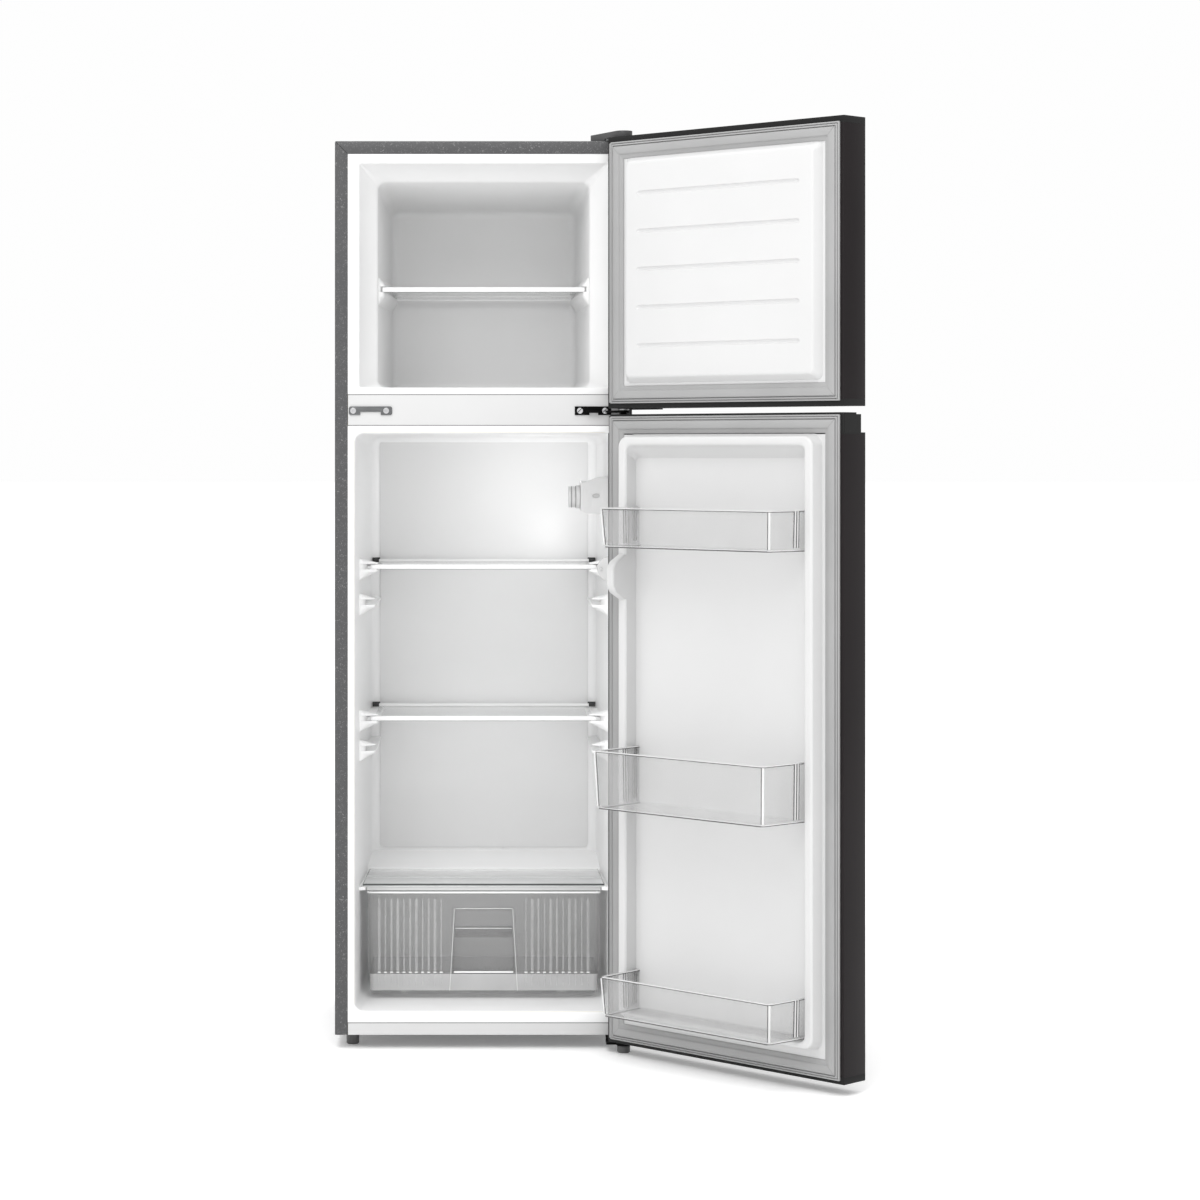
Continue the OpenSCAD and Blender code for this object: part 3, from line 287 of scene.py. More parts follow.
def box(bm, low, high):
    """Box between two corners."""
    corners = [bm.verts.new((x, y, z)) for z in (low[2], high[2]) for y in (low[1], high[1])
               for x in (low[0], high[0])]
    for ids in ((0, 2, 3, 1), (4, 5, 7, 6), (0, 1, 5, 4), (2, 6, 7, 3), (0, 4, 6, 2), (1, 3, 7, 5)):
        bm.faces.new([corners[i] for i in ids])


def side_box(bm, side, across, along, up):
    """Box on one side of the middle. Each pair is (low, high), across being away from the middle."""
    x0, x1 = sorted(side * x for x in across)
    box(bm, (x0, along[0], up[0]), (x1, along[1], up[1]))


def strip(bm, ends, across, deep):
    """Flat bar between two points, with its half width as a vector and its depth along y."""
    back = Vector((0, deep, 0))
    grid(bm, [[tuple(p - across), tuple(p + across), tuple(p + across + back), tuple(p - across + back)]
              for p in ends])


def prism(bm, outline, axis, low, high):
    """Outline pushed along an axis. The outline's two numbers are the other two axes in order."""
    def place(p, t):
        point = list(p)
        point.insert(axis, t)
        return tuple(point)
    grid(bm, [[place(p, low) for p in outline], [place(p, high) for p in outline]])


def turned(bm, profile, centre, axis, steps=48):
    """Solid of revolution. The profile is (radius, height along the axis), from one end to the other."""
    u = Vector((0, 1, 0)) if axis == 0 else Vector((1, 0, 0))
    w = Vector((0, 0, 0))
    w[axis] = 1
    v = w.cross(u)
    rows = []
    for r, h in profile:
        rows.append([tuple(Vector(centre) + w * h + (u * math.cos(t) + v * math.sin(t)) * max(r, 0.02))
                     for t in [2 * math.pi * i / steps for i in range(steps)]])
    grid(bm, rows)


def curve_of(r, n):
    """Points (inset, advance) of a rounded edge of radius r."""
    return [(r * (1 - math.sin(math.radians(t))), r * (1 - math.cos(math.radians(t))))
            for t in [90 * i / n for i in range(n + 1)]]


def both_ends(end):
    """Profile (radius, distance from the middle) of a bar, from the profile of one end."""
    return [(r, -h) for r, h in end[::-1]] + end


def finish_mesh(name, bm, body, slot, stands_for=(), bevel=0.0, segments=2, sharp=35, door=False,
                material=None):
    """Turn millimetre geometry into a piece that rides on a body."""
    bmesh.ops.remove_doubles(bm, verts=bm.verts, dist=0.001)
    bmesh.ops.recalc_face_normals(bm, faces=bm.faces)
    if door:
        bm.transform(OPENED)
    bm.transform(Matrix.Scale(MM, 4))
    mesh = bpy.data.meshes.new(name)
    bm.to_mesh(mesh)
    bm.free()
    piece = bpy.data.objects.new(name, mesh)
    bpy.context.scene.collection.objects.link(piece)
    dress(piece, material or MATERIALS[slot], bevel, segments, sharp)
    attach(piece, body)
    if stands_for:
        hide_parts(*stands_for)
    return piece


def round_edges(piece, width, segments, angle):
    """Round every edge sharper than the angle. The width is in millimetres."""
    edge = piece.modifiers.new("rounded_edge_highlights", "BEVEL")
    edge.width = width * MM
    edge.segments = segments
    edge.limit_method = "ANGLE"
    edge.angle_limit = math.radians(angle)
    edge.use_clamp_overlap = True


def dress(piece, material, bevel, segments, sharp):
    """Material, rounded edges and smooth shading."""
    mesh = piece.data
    mesh.materials.clear()
    mesh.materials.append(material)
    mesh.shade_smooth()
    mesh.set_sharp_from_angle(angle=math.radians(sharp))
    if bevel:
        round_edges(piece, bevel, segments, sharp)


# ---------- CAD nodes that keep their shape ----------

# width of the rounded edges for each material slot
EDGE = {
    "shell_paint": 0.4, "door_paint": 0.25, "bare_steel": 0.4, "black_steel": 0.5,
    "white_plastic": 0.8, "black_plastic": 0.8, "grey_plastic": 0.8, "rubber": 0.6, "seal": 0.8,
    "insulation": 0, "copper_tube": 0.2, "aluminium_plate": 0.2, "shelf_glass": 0.6,
    "clear_plastic": 0.5, "lamp_lens": 1.0, "lamp_glass": 0,
}

# nodes whose material differs from that of their slot
OWN_MATERIAL = {
    "left_foot": FOOT_GREY, "right_foot": FOOT_GREY, "hinge_screws": SCREW_STEEL,
    "hinge_washers": SCREW_STEEL, "crisper_cover_glass": COVER_GLASS_PAINTED_LIGHT,
}


def keep_nodes():
    """Weld, round and shade every CAD node."""
    for name, obj in nodes.items():
        slot = slot_of[name]
        mesh = obj.data
        mesh.materials.clear()
        mesh.materials.append(OWN_MATERIAL.get(name, MATERIALS[slot]))
        if "custom_normal" in mesh.attributes:
            mesh.attributes.remove(mesh.attributes["custom_normal"])
        mesh.shade_smooth()
        weld = obj.modifiers.new("weld", "WELD")
        weld.merge_threshold = 0.00001
        if EDGE[slot]:
            round_edges(obj, EDGE[slot], 2, 40)


keep_nodes()


# ---------- cabinet: painted steel, liners and what is fixed to them ----------

# openings of the compartments at the front: half width, low, high
FREEZER_OPENING = (229.3, 1224, 1638.2)
FRIDGE_OPENING = (238, 70, 1139)
LINER_HALF = 273.5      # half width of the liners' flanges
WALL = 1.5              # thickness of the liners
SEAM = 0.7              # half of the seam between two covers
SHELF_HEIGHTS = (888, 601.5)
GROOVE_HEIGHTS = (888, 821, 601.5, 545)
FREEZER_SHELF_HEIGHT = 1409
GROOVE = 5.2            # half height of a shelf groove
BEHIND_WALL = -0.12     # share of a rail that lies behind the liner's surface
DIAL_AT = (135, 1019.5)
HINGE_SCREW_HEIGHT = 1181.8


def cut(piece, cutter_bm):
    """Take the cutter's shape out of a piece for good."""
    cutter_bm.transform(Matrix.Scale(MM, 4))
    bmesh.ops.recalc_face_normals(cutter_bm, faces=cutter_bm.faces)
    mesh = bpy.data.meshes.new("cutter")
    cutter_bm.to_mesh(mesh)
    cutter_bm.free()
    cutter = bpy.data.objects.new("cutter", mesh)
    bpy.context.scene.collection.objects.link(cutter)
    away = piece.modifiers.new("cut", "BOOLEAN")
    away.object = cutter
    away.solver = "EXACT"
    piece.modifiers.move(len(piece.modifiers) - 1, 0)
    others = [m for m in piece.modifiers if m != away]
    for m in others:
        m.show_viewport = False
    bpy.context.view_layer.update()
    result = bpy.data.meshes.new_from_object(piece.evaluated_get(bpy.context.evaluated_depsgraph_get()))
    piece.modifiers.remove(away)
    for m in piece.modifiers:
        m.show_viewport = True
    old = piece.data
    piece.data = result
    result.name = piece.name
    bpy.data.meshes.remove(old)
    bpy.data.objects.remove(cutter)
    result.shade_smooth()
    result.set_sharp_from_angle(angle=math.radians(35))


def shell_path(inset, y):
    """Line up one side of the cabinet, over its top and down the other side."""
    half = half_w - inset
    top = cabinet_top - inset
    r = max(3 - inset, 0.05)
    points = [(-half, y, cabinet_low)]
    for cx, start in ((-half + r, 180), (half - r, 90)):
        for i in range(6):
            t = math.radians(start - 90 * i / 5)
            points.append((cx + r * math.cos(t), y, top - r + r * math.sin(t)))
    points.append((half, y, cabinet_low))
    return points


def painted_cabinet():
    """Folded steel sheet of the sides and the top with its front flange."""
    outer = [(0, cabinet_back), (0, 60), (0, 1.6), (0.25, 0.75), (0.75, 0.25), (1.6, 0)]
    inner = [(flange_w - 0.8, 0), (flange_w - 0.25, 0.2), (flange_w, 0.7), (flange_w, 3.2),
             (flange_w - 1, 3.2), (flange_w - 1, 1), (1, 1), (1, cabinet_back)]
    bm = bmesh.new()
    grid(bm, [shell_path(d, y) for d, y in outer + inner], wrap_rows=True, wrap_cols=False)
    finish_mesh("cabinet_sheet", bm, "cabinet", "shell_paint", ["outer_shell"])
    bm = bmesh.new()
    for side in (-1, 1):
        outside = Vector((side * (half_w - 0.8), -0.04, cabinet_top - 0.8))
        inside = Vector((side * (half_w - flange_w + 0.6), -0.04, cabinet_top - flange_w + 0.6))
        strip(bm, (outside, inside), Vector((0.3, 0, -0.3 * side)), 0.3)
    finish_mesh("flange_mitres", bm, "cabinet", "black_plastic")


def tub(name, opening, stations, back_r, flange, lip, stands_for, material):
    """Moulded liner: a flange, a rounded lip and a hollow with rounded rear edges."""
    half, low, high = opening
    lip_rings = [(half + d, low - d, high + d, stations[0][3] + d, 1 + a) for d, a in curve_of(lip, 6)]
    inner = lip_rings + stations[1:]
    bh, bl, bt, br, by = stations[-1]
    inner[-1] = (bh, bl, bt, br, by - back_r)
    for i in range(1, 9):
        t = math.radians(90 * i / 8)
        inset = back_r * (1 - math.cos(t))
        depth = by - back_r + back_r * math.sin(t)
        inner.append((bh - inset, bl + inset, bt - inset, max(br - inset, 1.5), depth))
    outer = [(h + WALL, lo - WALL, hi + WALL, r + WALL, y + WALL)
             for h, lo, hi, r, y in inner[len(lip_rings):]][::-1]
    fh, fl, ft = flange
    rim = [(fh - inset, fl + inset, ft - inset, 1, y)
           for inset, y in ((0.8, 2.5), (0, 1.9), (0.3, 1.2), (0.8, 1))]
    bm = bmesh.new()
    rings(bm, outer + rim + inner)
    finish_mesh(name, bm, "cabinet", "white_plastic", stands_for, material=material)


def cover(name, low, high, node):
    """Shallow cover between the side flanges."""
    half = half_w - flange_w - 0.4
    bm = bmesh.new()
    rings(bm, [(half - 0.5, low + 0.5, high - 0.5, 0.5, 2.5), (half, low, high, 0.8, 2.0),
               (half, low, high, 0.8, 0.9), (half - 0.3, low + 0.3, high - 0.3, 0.6, 0.4),
               (half - 1, low + 1, high - 1, 0.4, 0.25)])
    finish_mesh(name, bm, "cabinet", "white_plastic", [node], material=COVER_WHITE)


def liners():
    """Both compartments, with the covers between and below them."""
    tub("freezer_tub", FREEZER_OPENING,
        [(*FREEZER_OPENING, 3, 1), (200.5, 1224, 1611, 12, 40.5), (197.6, 1224, 1607.8, 14, 44.5),
         (196.8, 1224, 1606.6, 15, 49), (182, 1224, 1580, 18, 400)],
        16, (LINER_HALF, beam_high + SEAM, cabinet_top - 1.5), 2.5, ["freezer_liner"], FREEZER_LINER_PAINTED_SHADE)
    tub("fridge_tub", FRIDGE_OPENING,
        [(*FRIDGE_OPENING, 16, 1), (235.6, 71.5, 1138.4, 17, 70), (224, 78, 1135, 20, 430)],
        22, (LINER_HALF, rail_high + SEAM, beam_low - SEAM), 6, ["fridge_liner"], LINER_PAINTED_LIGHT)
    # raised floor over the compressor; its lower part wrongly reaches into the compressor bay
    bm = bmesh.new()
    prism(bm, [(325, 74), (325, 290), (436, 313), (436, 74)], 0, -233, 233)
    finish_mesh("compressor_step", bm, "cabinet", "white_plastic", material=LINER_PAINTED_LIGHT, bevel=4.5, segments=4)
    bm = bmesh.new()
    rings(bm, [(206.5, 318, 1129, 9, 429.6), (207, 317.5, 1129.5, 9.5, 428.6),
               (206.7, 317.8, 1129.2, 9.2, 427.8), (206, 318.5, 1128.5, 9, 427.4)])
    finish_mesh("back_plate", bm, "cabinet", "white_plastic", material=BACK_WHITE)
    cover("beam_cover", beam_low + SEAM, beam_high - SEAM, "mullion_cover")
    cover("bottom_rail_cover", cabinet_low, rail_high - SEAM, "bottom_rail")


def seam_shades():
    """Grey strips behind the seams around the beam and above the bottom rail: painted shade in the seams.
    """
    bm = bmesh.new()
    half = half_w - flange_w - 0.6
    for z in (beam_low, beam_high, rail_high):
        box(bm, (-half, 1.6, z - 1.2), (half, 2.45, z + 1.2))
    finish_mesh("seam_painted_shade", bm, "cabinet", "white_plastic", material=SEAM_GREY)


def fridge_wall(y):
    """Half the width of the fresh food compartment at the depth y."""
    return 238 - 14 * (y - 1) / 411


def freezer_wall(y):
    """Half the width of the freezer compartment at the depth y."""
    return 197 - 15 * (y - 45) / 341


def rail_point(share, h, rise):
    """Where a point of a rail's shape lies. With no rise only the ledge below the groove is left."""
    if rise > 0:
        return share, (GROOVE + (h - GROOVE) * rise if h > 5 else h)
    if h > -GROOVE or (h == -GROOVE and share < 0.9):
        return BEHIND_WALL, -GROOVE + 0.01 * (h + GROOVE)
    return share, h


def rail(bm, side, z, stations, shape):
    """Groove rail on a side wall. The shape is (share of the way from the wall to the tip, height).

    A station is (depth, wall, tip, rise), with rise the part of the upper half's height left there.
    """
    rows = []
    for y, wall, tip, rise in stations:
        points = [rail_point(share, h, rise) for share, h in shape]
        rows.append([(side * (wall + (tip - wall) * share), y, z + h) for share, h in points])
    grid(bm, rows if side > 0 else rows[::-1])


def fridge_rails():
    """Rails for the two glass shelves and the spare pairs."""
    shape = [(BEHIND_WALL, 27), (0.1, 24), (0.88, 11), (1, 9.5), (1, GROOVE), (0.39, GROOVE),
             (0.39, -GROOVE), (1, -GROOVE), (1, -9.5), (0.88, -11), (0.1, -24), (BEHIND_WALL, -27)]
    bm = bmesh.new()
    for z in GROOVE_HEIGHTS:
        tip = 200 if z in SHELF_HEIGHTS else 205
        for side in (-1, 1):
            nose = [(y, fridge_wall(y), fridge_wall(y) - deep, 0.5)
                    for y, deep in ((111, 2), (113, 12), (118, 22))]
            rest = [(y, fridge_wall(y), tip, rise)
                    for y, rise in ((126, 0.5), (135, 0.3), (140, 0), (250, 0), (411, 0))]
            rail(bm, side, z, nose + rest, shape)
    finish_mesh("fridge_shelf_rails", bm, "cabinet", "white_plastic", material=LINER_PAINTED_LIGHT, bevel=1.2,
                segments=3)


def freezer_rails():
    """Rails for the freezer shelf."""
    shape = [(-0.2, 24), (0.15, 21), (0.9, 8.5), (1, 7), (1, GROOVE), (0.45, GROOVE), (0.45, -GROOVE),
             (1, -GROOVE), (1, -13), (0.9, -15), (0.15, -28), (-0.2, -32)]
    bm = bmesh.new()
    for side in (-1, 1):
        nose = [(y, freezer_wall(y), freezer_wall(y) - deep, 1)
                for y, deep in ((59, 1.5), (61, 6), (66, 10.5))]
        rest = [(y, freezer_wall(y), freezer_wall(y) - 11.5, 1) for y in (70, 220, 380)]
        rail(bm, side, FREEZER_SHELF_HEIGHT, nose + rest, shape)
    finish_mesh("freezer_shelf_rails", bm, "cabinet", "white_plastic", material=FREEZER_LINER_PAINTED_SHADE,
                bevel=1.0, segments=3)


def drawer_ledges():
    """Ledges for the drawer's cover, runners for the drawer and dark grey blocks behind the shelves."""
    bm = bmesh.new()
    for side in (-1, 1):
        outline = [(side * (fridge_wall(104) + 0.8), 104), (side * 222.5, 108), (side * 222.5, 324),
                   (side * (fridge_wall(324) + 0.8), 324)]
        prism(bm, outline, 2, 278, 284.8)
        side_box(bm, side, (140, 158), (180, 325), (72, 80.2))
    finish_mesh("drawer_ledges", bm, "cabinet", "white_plastic", material=LINER_PAINTED_LIGHT, bevel=1.2, segments=3)
    bm = bmesh.new()
    for z in SHELF_HEIGHTS:
        for side in (-1, 1):
            side_box(bm, side, (206, 221), (414.5, 421), (z - 3, z + 6.5))
            side_box(bm, side, (209, 219), (412, 416), (z - 1, z + 3))
    finish_mesh("shelf_rear_blocks", bm, "cabinet", "grey_plastic", bevel=1.0)


def control_details():
    """Dark rings around the dial and the oval mark on its housing."""
    bm = bmesh.new()
    for x, r in ((165.6, 20.3), (173.4, 20.4)):
        turned(bm, [(r - 1.5, x), (r, x), (r, x + 1.3), (r - 1.5, x + 1.3)], (0, *DIAL_AT), 0)
    finish_mesh("dial_rings", bm, "thermostat_knob", "white_plastic", material=SEAM_GREY)
    bm = bmesh.new()
    for i, grow in enumerate((0, -1.4)):
        angles = [math.radians(15 * step) for step in range(24)]
        outline = [(212 + (7 + grow) * math.cos(t), 1022 + (4.2 + grow) * math.sin(t)) for t in angles]
        prism(bm, outline, 1, 105.9 - 0.6 * i, 106.9)
    finish_mesh("control_mark", bm, "cabinet", "white_plastic", material=MARK_GREY, bevel=0.2)


def screw_slot_shades():
    """Black bars across the heads of the middle hinge's screws, standing for their slots: painted shade.
    """
    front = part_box("hinge_screws")[0].y / MM
    reach, half = 3.4, 0.8
    z = HINGE_SCREW_HEIGHT
    bm = bmesh.new()
    for x in (178.3, 225):
        outline = [(x - reach, z - reach - half), (x - reach - half, z - reach),
                   (x + reach, z + reach + half), (x + reach + half, z + reach)]
        prism(bm, outline, 1, front - 0.1, front + 0.5)
    finish_mesh("screw_slot_shades", bm, "cabinet", "black_steel")


def back_beads():
    """Pressed stiffening beads and the screws of the rear panel."""
    r = 11
    profile = both_ends([(r, 620), (r * 0.8, 632), (r * 0.45, 638), (0.05, 640)])
    bm = bmesh.new()
    for x in (-172, -58, 58, 172):
        turned(bm, profile, (x, cabinet_back - r + 2.6, 1000), 2, 32)
    finish_mesh("back_panel_beads", bm, "cabinet", "bare_steel", sharp=50)
    head = [(0.05, -1), (4.4, -1), (4.4, 1.2), (3.6, 2.4), (0.05, 2.8)]
    bm = bmesh.new()
    for side in (-1, 1):
        for z in (370, 690, 1010, 1330, 1650):
            turned(bm, head, (side * 257, cabinet_back, z), 1, 20)
    finish_mesh("back_panel_screws", bm, "cabinet", "bare_steel", sharp=40)


# ---------- shelves ----------

def shelf(name, body, z, half_front, half_back, front, back, stands_for):
    """Front and rear trims around a pane. The front trim is a rounded bar with a lip over the glass."""
    base = z - 5.0
    nose = [(front + 1.2, base), (front + 0.3, base + 0.9), (front, base + 2.2), (front, base + 5.6),
            (front + 0.7, base + 7.4), (front + 2.4, base + 8.6), (front + 5.6, base + 8.6),
            (front + 7.2, base + 7.8), (front + 10.4, base + 4.8), (front + 11, base + 4.1),
            (front + 5.9, base + 4.1), (front + 5.9, base)]
    rear = [(back - 8, base + 4.1), (back - 7.2, base + 6.4), (back - 5.4, base + 7.2),
            (back - 4, base + 8.6), (back - 0.8, base + 8.6), (back, base + 7.8), (back, base - 2.2),
            (back - 3.9, base - 2.2), (back - 3.9, base + 4.1)]
    bm = bmesh.new()
    for outline, half in ((nose, half_front), (rear, half_back)):
        prism(bm, outline, 0, -half, half)
    finish_mesh(name, bm, body, "white_plastic", stands_for, bevel=0.5, material=TRIM)
    # dark grey bar under the front trim: a painted shadow line
    bm = bmesh.new()
    box(bm, (-half_front + 3, front + 2.2, base - 0.6), (half_front - 3, front + 4.6, base + 0.3))
    finish_mesh(name + "_painted_shadow", bm, body, "grey_plastic", bevel=0.3)


def shelves():
    """The two fresh food shelves and the freezer shelf."""
    for place, z in zip(("upper", "lower"), SHELF_HEIGHTS):
        shelf(place + "_shelf_frame", place + "_shelf", z, 212.5, 208, 122, 414,
              [place + "_shelf_trims"])
    shelf("freezer_shelf_frame", "freezer_shelf", FREEZER_SHELF_HEIGHT, 189, 176.5, 62, 376,
          ["freezer_shelf_trims"])


# ---------- crisper ----------

# the drawer's heights, and its half width, front and back at each of them
DRAWER = dict(low=80.5, high=275, half_low=214.5, half_high=220.5, front_low=113, front_high=110,
              back_low=311, back_high=315)
POCKET = (59, 118, 243)     # half width, low and high of the grip's pocket
FLUTES = [80 + 11.7 * i for i in range(11)]


def drawer_at(edge, z):
    """The drawer's half width, front or back at the height z."""
    t = (z - DRAWER["low"]) / (DRAWER["high"] - DRAWER["low"])
    return DRAWER[edge + "_low"] + (DRAWER[edge + "_high"] - DRAWER[edge + "_low"]) * t


def drawer_ring(inset, z):
    """Level outline of the drawer at the height z."""
    half = drawer_at("half", z) - inset
    front = drawer_at("front", z) + inset
    back = drawer_at("back", z) - inset
    return flat_ring(-half, half, front, back, max(10 - inset, 1), z)


def drawer_band(bm, low, high, out, deep):
    """Band around the drawer between two heights."""
    corners = ((out, low), (out, high), (deep, high), (deep, low))
    grid(bm, [drawer_ring(inset, z) for inset, z in corners], wrap_rows=True)


def drawer_face(z):
    """Depth of the drawer's front face at the height z."""
    return drawer_at("front", z)


def half_round(bm, x, z0, z1, width, rise):
    """Upright half-round bar with rounded ends on the drawer's front face."""
    ends = ((0, 0.05), (0.8, 0.55), (2.4, 0.92), (4.5, 1))
    levels = [(z0 + d, share) for d, share in ends] + [(z1 - d, share) for d, share in ends[::-1]]
    rows = []
    for z, share in levels:
        row = []
        for step in range(7):
            t = math.radians(30 * step)
            depth = drawer_face(z) + 0.3 - (0.3 + rise * share) * math.sin(t)
            row.append((x + share * width / 2 * math.cos(t), depth, z))
        rows.append(row)
    grid(bm, rows)


def drawer_tray():
    """Clear tray with the grip's pocket cut out of its front."""
    low, high = DRAWER["low"], DRAWER["high"]
    rows = []
    for t in range(0, 91, 15):
        angle = math.radians(t)
        rows.append(drawer_ring(8 * (1 - math.sin(angle)), low + 8 * (1 - math.cos(angle))))
    rim = [(0, high - 9), (0, high - 0.8), (0.5, high), (2.4, high), (2.9, high - 0.8), (2.9, high - 9),
           (2.0, high - 11)]
    inside = [(2.0, low + 12), (3.0, low + 6), (6.0, low + 3), (10, low + 2.5)]
    rows += [drawer_ring(inset, z) for inset, z in rim + inside]
    bm = bmesh.new()
    grid(bm, rows)
    tray = finish_mesh("crisper_tray", bm, "drawer", "clear_plastic", ["crisper_drawer"],
                       material=DRAWER_PLASTIC)
    half, z0, z1 = POCKET
    cutter = bmesh.new()
    box(cutter, (-half, 100, z0), (half, 117, z1))
    cut(tray, cutter)


def drawer_grip():
    """Grip with sides that flare towards the bottom, an upper slope, a step and a hollow."""
    half, z0, z1 = POCKET
    profile = [(z1 + 1.5, 0.0), (z1 - 1, 1.2), (z1 - 4, 3.0), (212, 4.5), (208, 5.2), (206, 9.5),
               (190, 11.5), (186, 12), (182, 11), (130, 10.2), (z0 + 3, 8), (z0 - 1.5, 0.2)]

    def spot(side, z, depth):
        flare = half - 5 + 5 * (z1 - z) / (z1 - z0)
        return (side * (flare - min(depth, 3) * 0.8), drawer_face(z) + depth, z)

    rows = []
    for z, depth in profile:
        front = drawer_face(z)
        outer = [(-half - 1, front - 0.2, z), spot(-1, z, 0), spot(-1, z, depth), spot(1, z, depth),
                 spot(1, z, 0), (half + 1, front - 0.2, z)]
        inner = [(half + 1, front + 1.8, z), (spot(1, z, depth)[0] + 2, front + depth + 1.8, z),
                 (spot(-1, z, depth)[0] - 2, front + depth + 1.8, z), (-half - 1, front + 1.8, z)]
        rows.append(outer + inner)
    bm = bmesh.new()
    grid(bm, rows)
    finish_mesh("crisper_grip", bm, "drawer", "clear_plastic", bevel=0.5, sharp=25,
                material=DRAWER_PLASTIC)


def drawer_flutes():
    """Flutes on the drawer's front, and the highlights between their two rows."""
    half = POCKET[0]
    bm = bmesh.new()
    for side in (-1, 1):
        for i, x in enumerate(FLUTES):
            half_round(bm, side * x, 125, 262, 2.6 + 1.3 * ((i * 5) % 3), 1.0)
            half_round(bm, side * x, 96, 121, 3.4, 0.8)
    finish_mesh("crisper_flutes", bm, "drawer", "clear_plastic", sharp=60, material=FLUTE)
    bm = bmesh.new()
    front = drawer_face(123)
    for side in (-1, 1):
        for distance in FLUTES:
            x = side * distance
            box(bm, (x - 2.9, front - 1.6, 121.6), (x + 2.9, front + 0.3, 124.0))
    front = drawer_face(124)
    box(bm, (-half + 3, front + 1.0, 121.2), (half - 3, front + 3.4, 124.4))
    finish_mesh("crisper_highlights", bm, "drawer", "clear_plastic", sharp=60, material=GLINT, bevel=0.5)


def drawer_edges():
    """Painted highlights on the rim and along lines around the grip, the painted shade under its step and
    the foot painted paler as painted light.
    """
    half, z0, z1 = POCKET
    high = DRAWER["high"]
    # bright band around the drawer's top: a painted highlight
    bm = bmesh.new()
    drawer_band(bm, high - 3.0, high + 0.1, -0.3, 3.2)
    finish_mesh("crisper_top_rim_highlight", bm, "drawer", "clear_plastic", material=GLINT, bevel=0.3)
    # thin bright lines across and beside the grip: painted highlights
    bm = bmesh.new()
    for z in (206, z1 + 0.4):
        front = drawer_face(z)
        box(bm, (-half + 6, front - 0.5, z - 0.6), (half - 6, front + 0.8, z + 0.6))
    section = ((-0.6, -0.5), (0.6, -0.5), (0.6, 0.6), (-0.6, 0.6))
    lines = (((half + 3, z0), (half - 4, z1)), ((half + 5, 88), (half + 3, z0)))
    for side in (-1, 1):
        for line in lines:
            grid(bm, [[(side * (x + dx), drawer_face(z) + dy, z) for dx, dy in section] for x, z in line])
    finish_mesh("crisper_grip_highlights", bm, "drawer", "clear_plastic", material=EDGE_HIGHLIGHT, bevel=0.3)
    bm = bmesh.new()
    front = drawer_face(200)
    box(bm, (-half + 6, front + 12.2, 187), (half - 6, front + 13.4, 207))
    finish_mesh("crisper_grip_shade", bm, "drawer", "clear_plastic", material=GRIP_SHADE, bevel=0.5)
    # paler band along the foot of the drawer: painted light
    bm = bmesh.new()
    drawer_band(bm, 88.5, 119.5, -0.3, 0.5)
    finish_mesh("crisper_foot_painted_light", bm, "drawer", "clear_plastic", material=DRAWER_FOOT_PAINTED_LIGHT, bevel=0.3)


def cover_edges():
    """Dark and light edges of the glass cover over the drawer."""
    bm = bmesh.new()
    box(bm, (-227.6, 109.5, 286.8), (227.6, 111.4, 290.15))
    for side in (-1, 1):
        outline = [(side * x, y) for x, y in ((228.1, 110), (223.1, 317.8), (222.0, 317.8), (227.0, 110))]
        prism(bm, outline, 2, 288.4, 290.2)
    finish_mesh("cover_edge", bm, "drawer_cover", "shelf_glass", material=GLASS_EDGE, bevel=0.4)
    bm = bmesh.new()
    box(bm, (-227.4, 109.6, 284.6), (227.4, 111.2, 286.6))
    finish_mesh("cover_edge_light", bm, "drawer_cover", "shelf_glass", material=COVER_GLASS_PAINTED_LIGHT, bevel=0.4)


# ---------- doors, built closed and swung open ----------

SEAL_HALF = 267         # half width of the doors' seals
RACK_FRONT_HALF = 193   # half width of a rack's front edge at its foot
RACK_BACK_HALF = 201
RACK_LEAN = 4           # how far a rack's front and ends lean out over its height

# height of the foot, height of the wall, reach from the door
RACKS = {"upper": (934, 71, 97), "middle": (466, 104, 114), "lower": (92, 71, 97)}


def panel_rim(low, high):
    """Outermost stations of a door's moulded inner face."""
    return [(261, low + 1, high - 1, 2, -9.5), (262, low, high, 2, -9), (262, low, high, 2, -8.2),
            (261.5, low, high, 2, -8)]


def freezer_panel():
    """Inner face of the freezer door with its five long grooves."""
    stations = panel_rim(1197, 1670.8)
    stations += [(231, 1228.2, 1643.6, 12, -8), (229, 1230, 1642, 12, -7.4),
                 (227.8, 1231.2, 1640.8, 11, -5.6), (220.4, 1238.8, 1634.4, 10, 4.6),
                 (219, 1240.2, 1633.2, 10, 6.4), (217, 1242.2, 1631.4, 9.5, 7.6),
                 (214, 1245, 1628.8, 8, 8)]
    bm = bmesh.new()
    rings(bm, stations)
    panel = finish_mesh("freezer_door_panel", bm, "freezer_door", "white_plastic",
                        ["freezer_door_liner"], door=True)
    profile = both_ends([(4.4, 181), (4.1, 185.5), (3.1, 188.4), (1.7, 189.6), (0.05, 190)])
    cutter = bmesh.new()
    for i in range(5):
        turned(cutter, profile, (0, 9.4, 1298 + 69.25 * i), 0, 28)
    cutter.transform(OPENED)
    cut(panel, cutter)


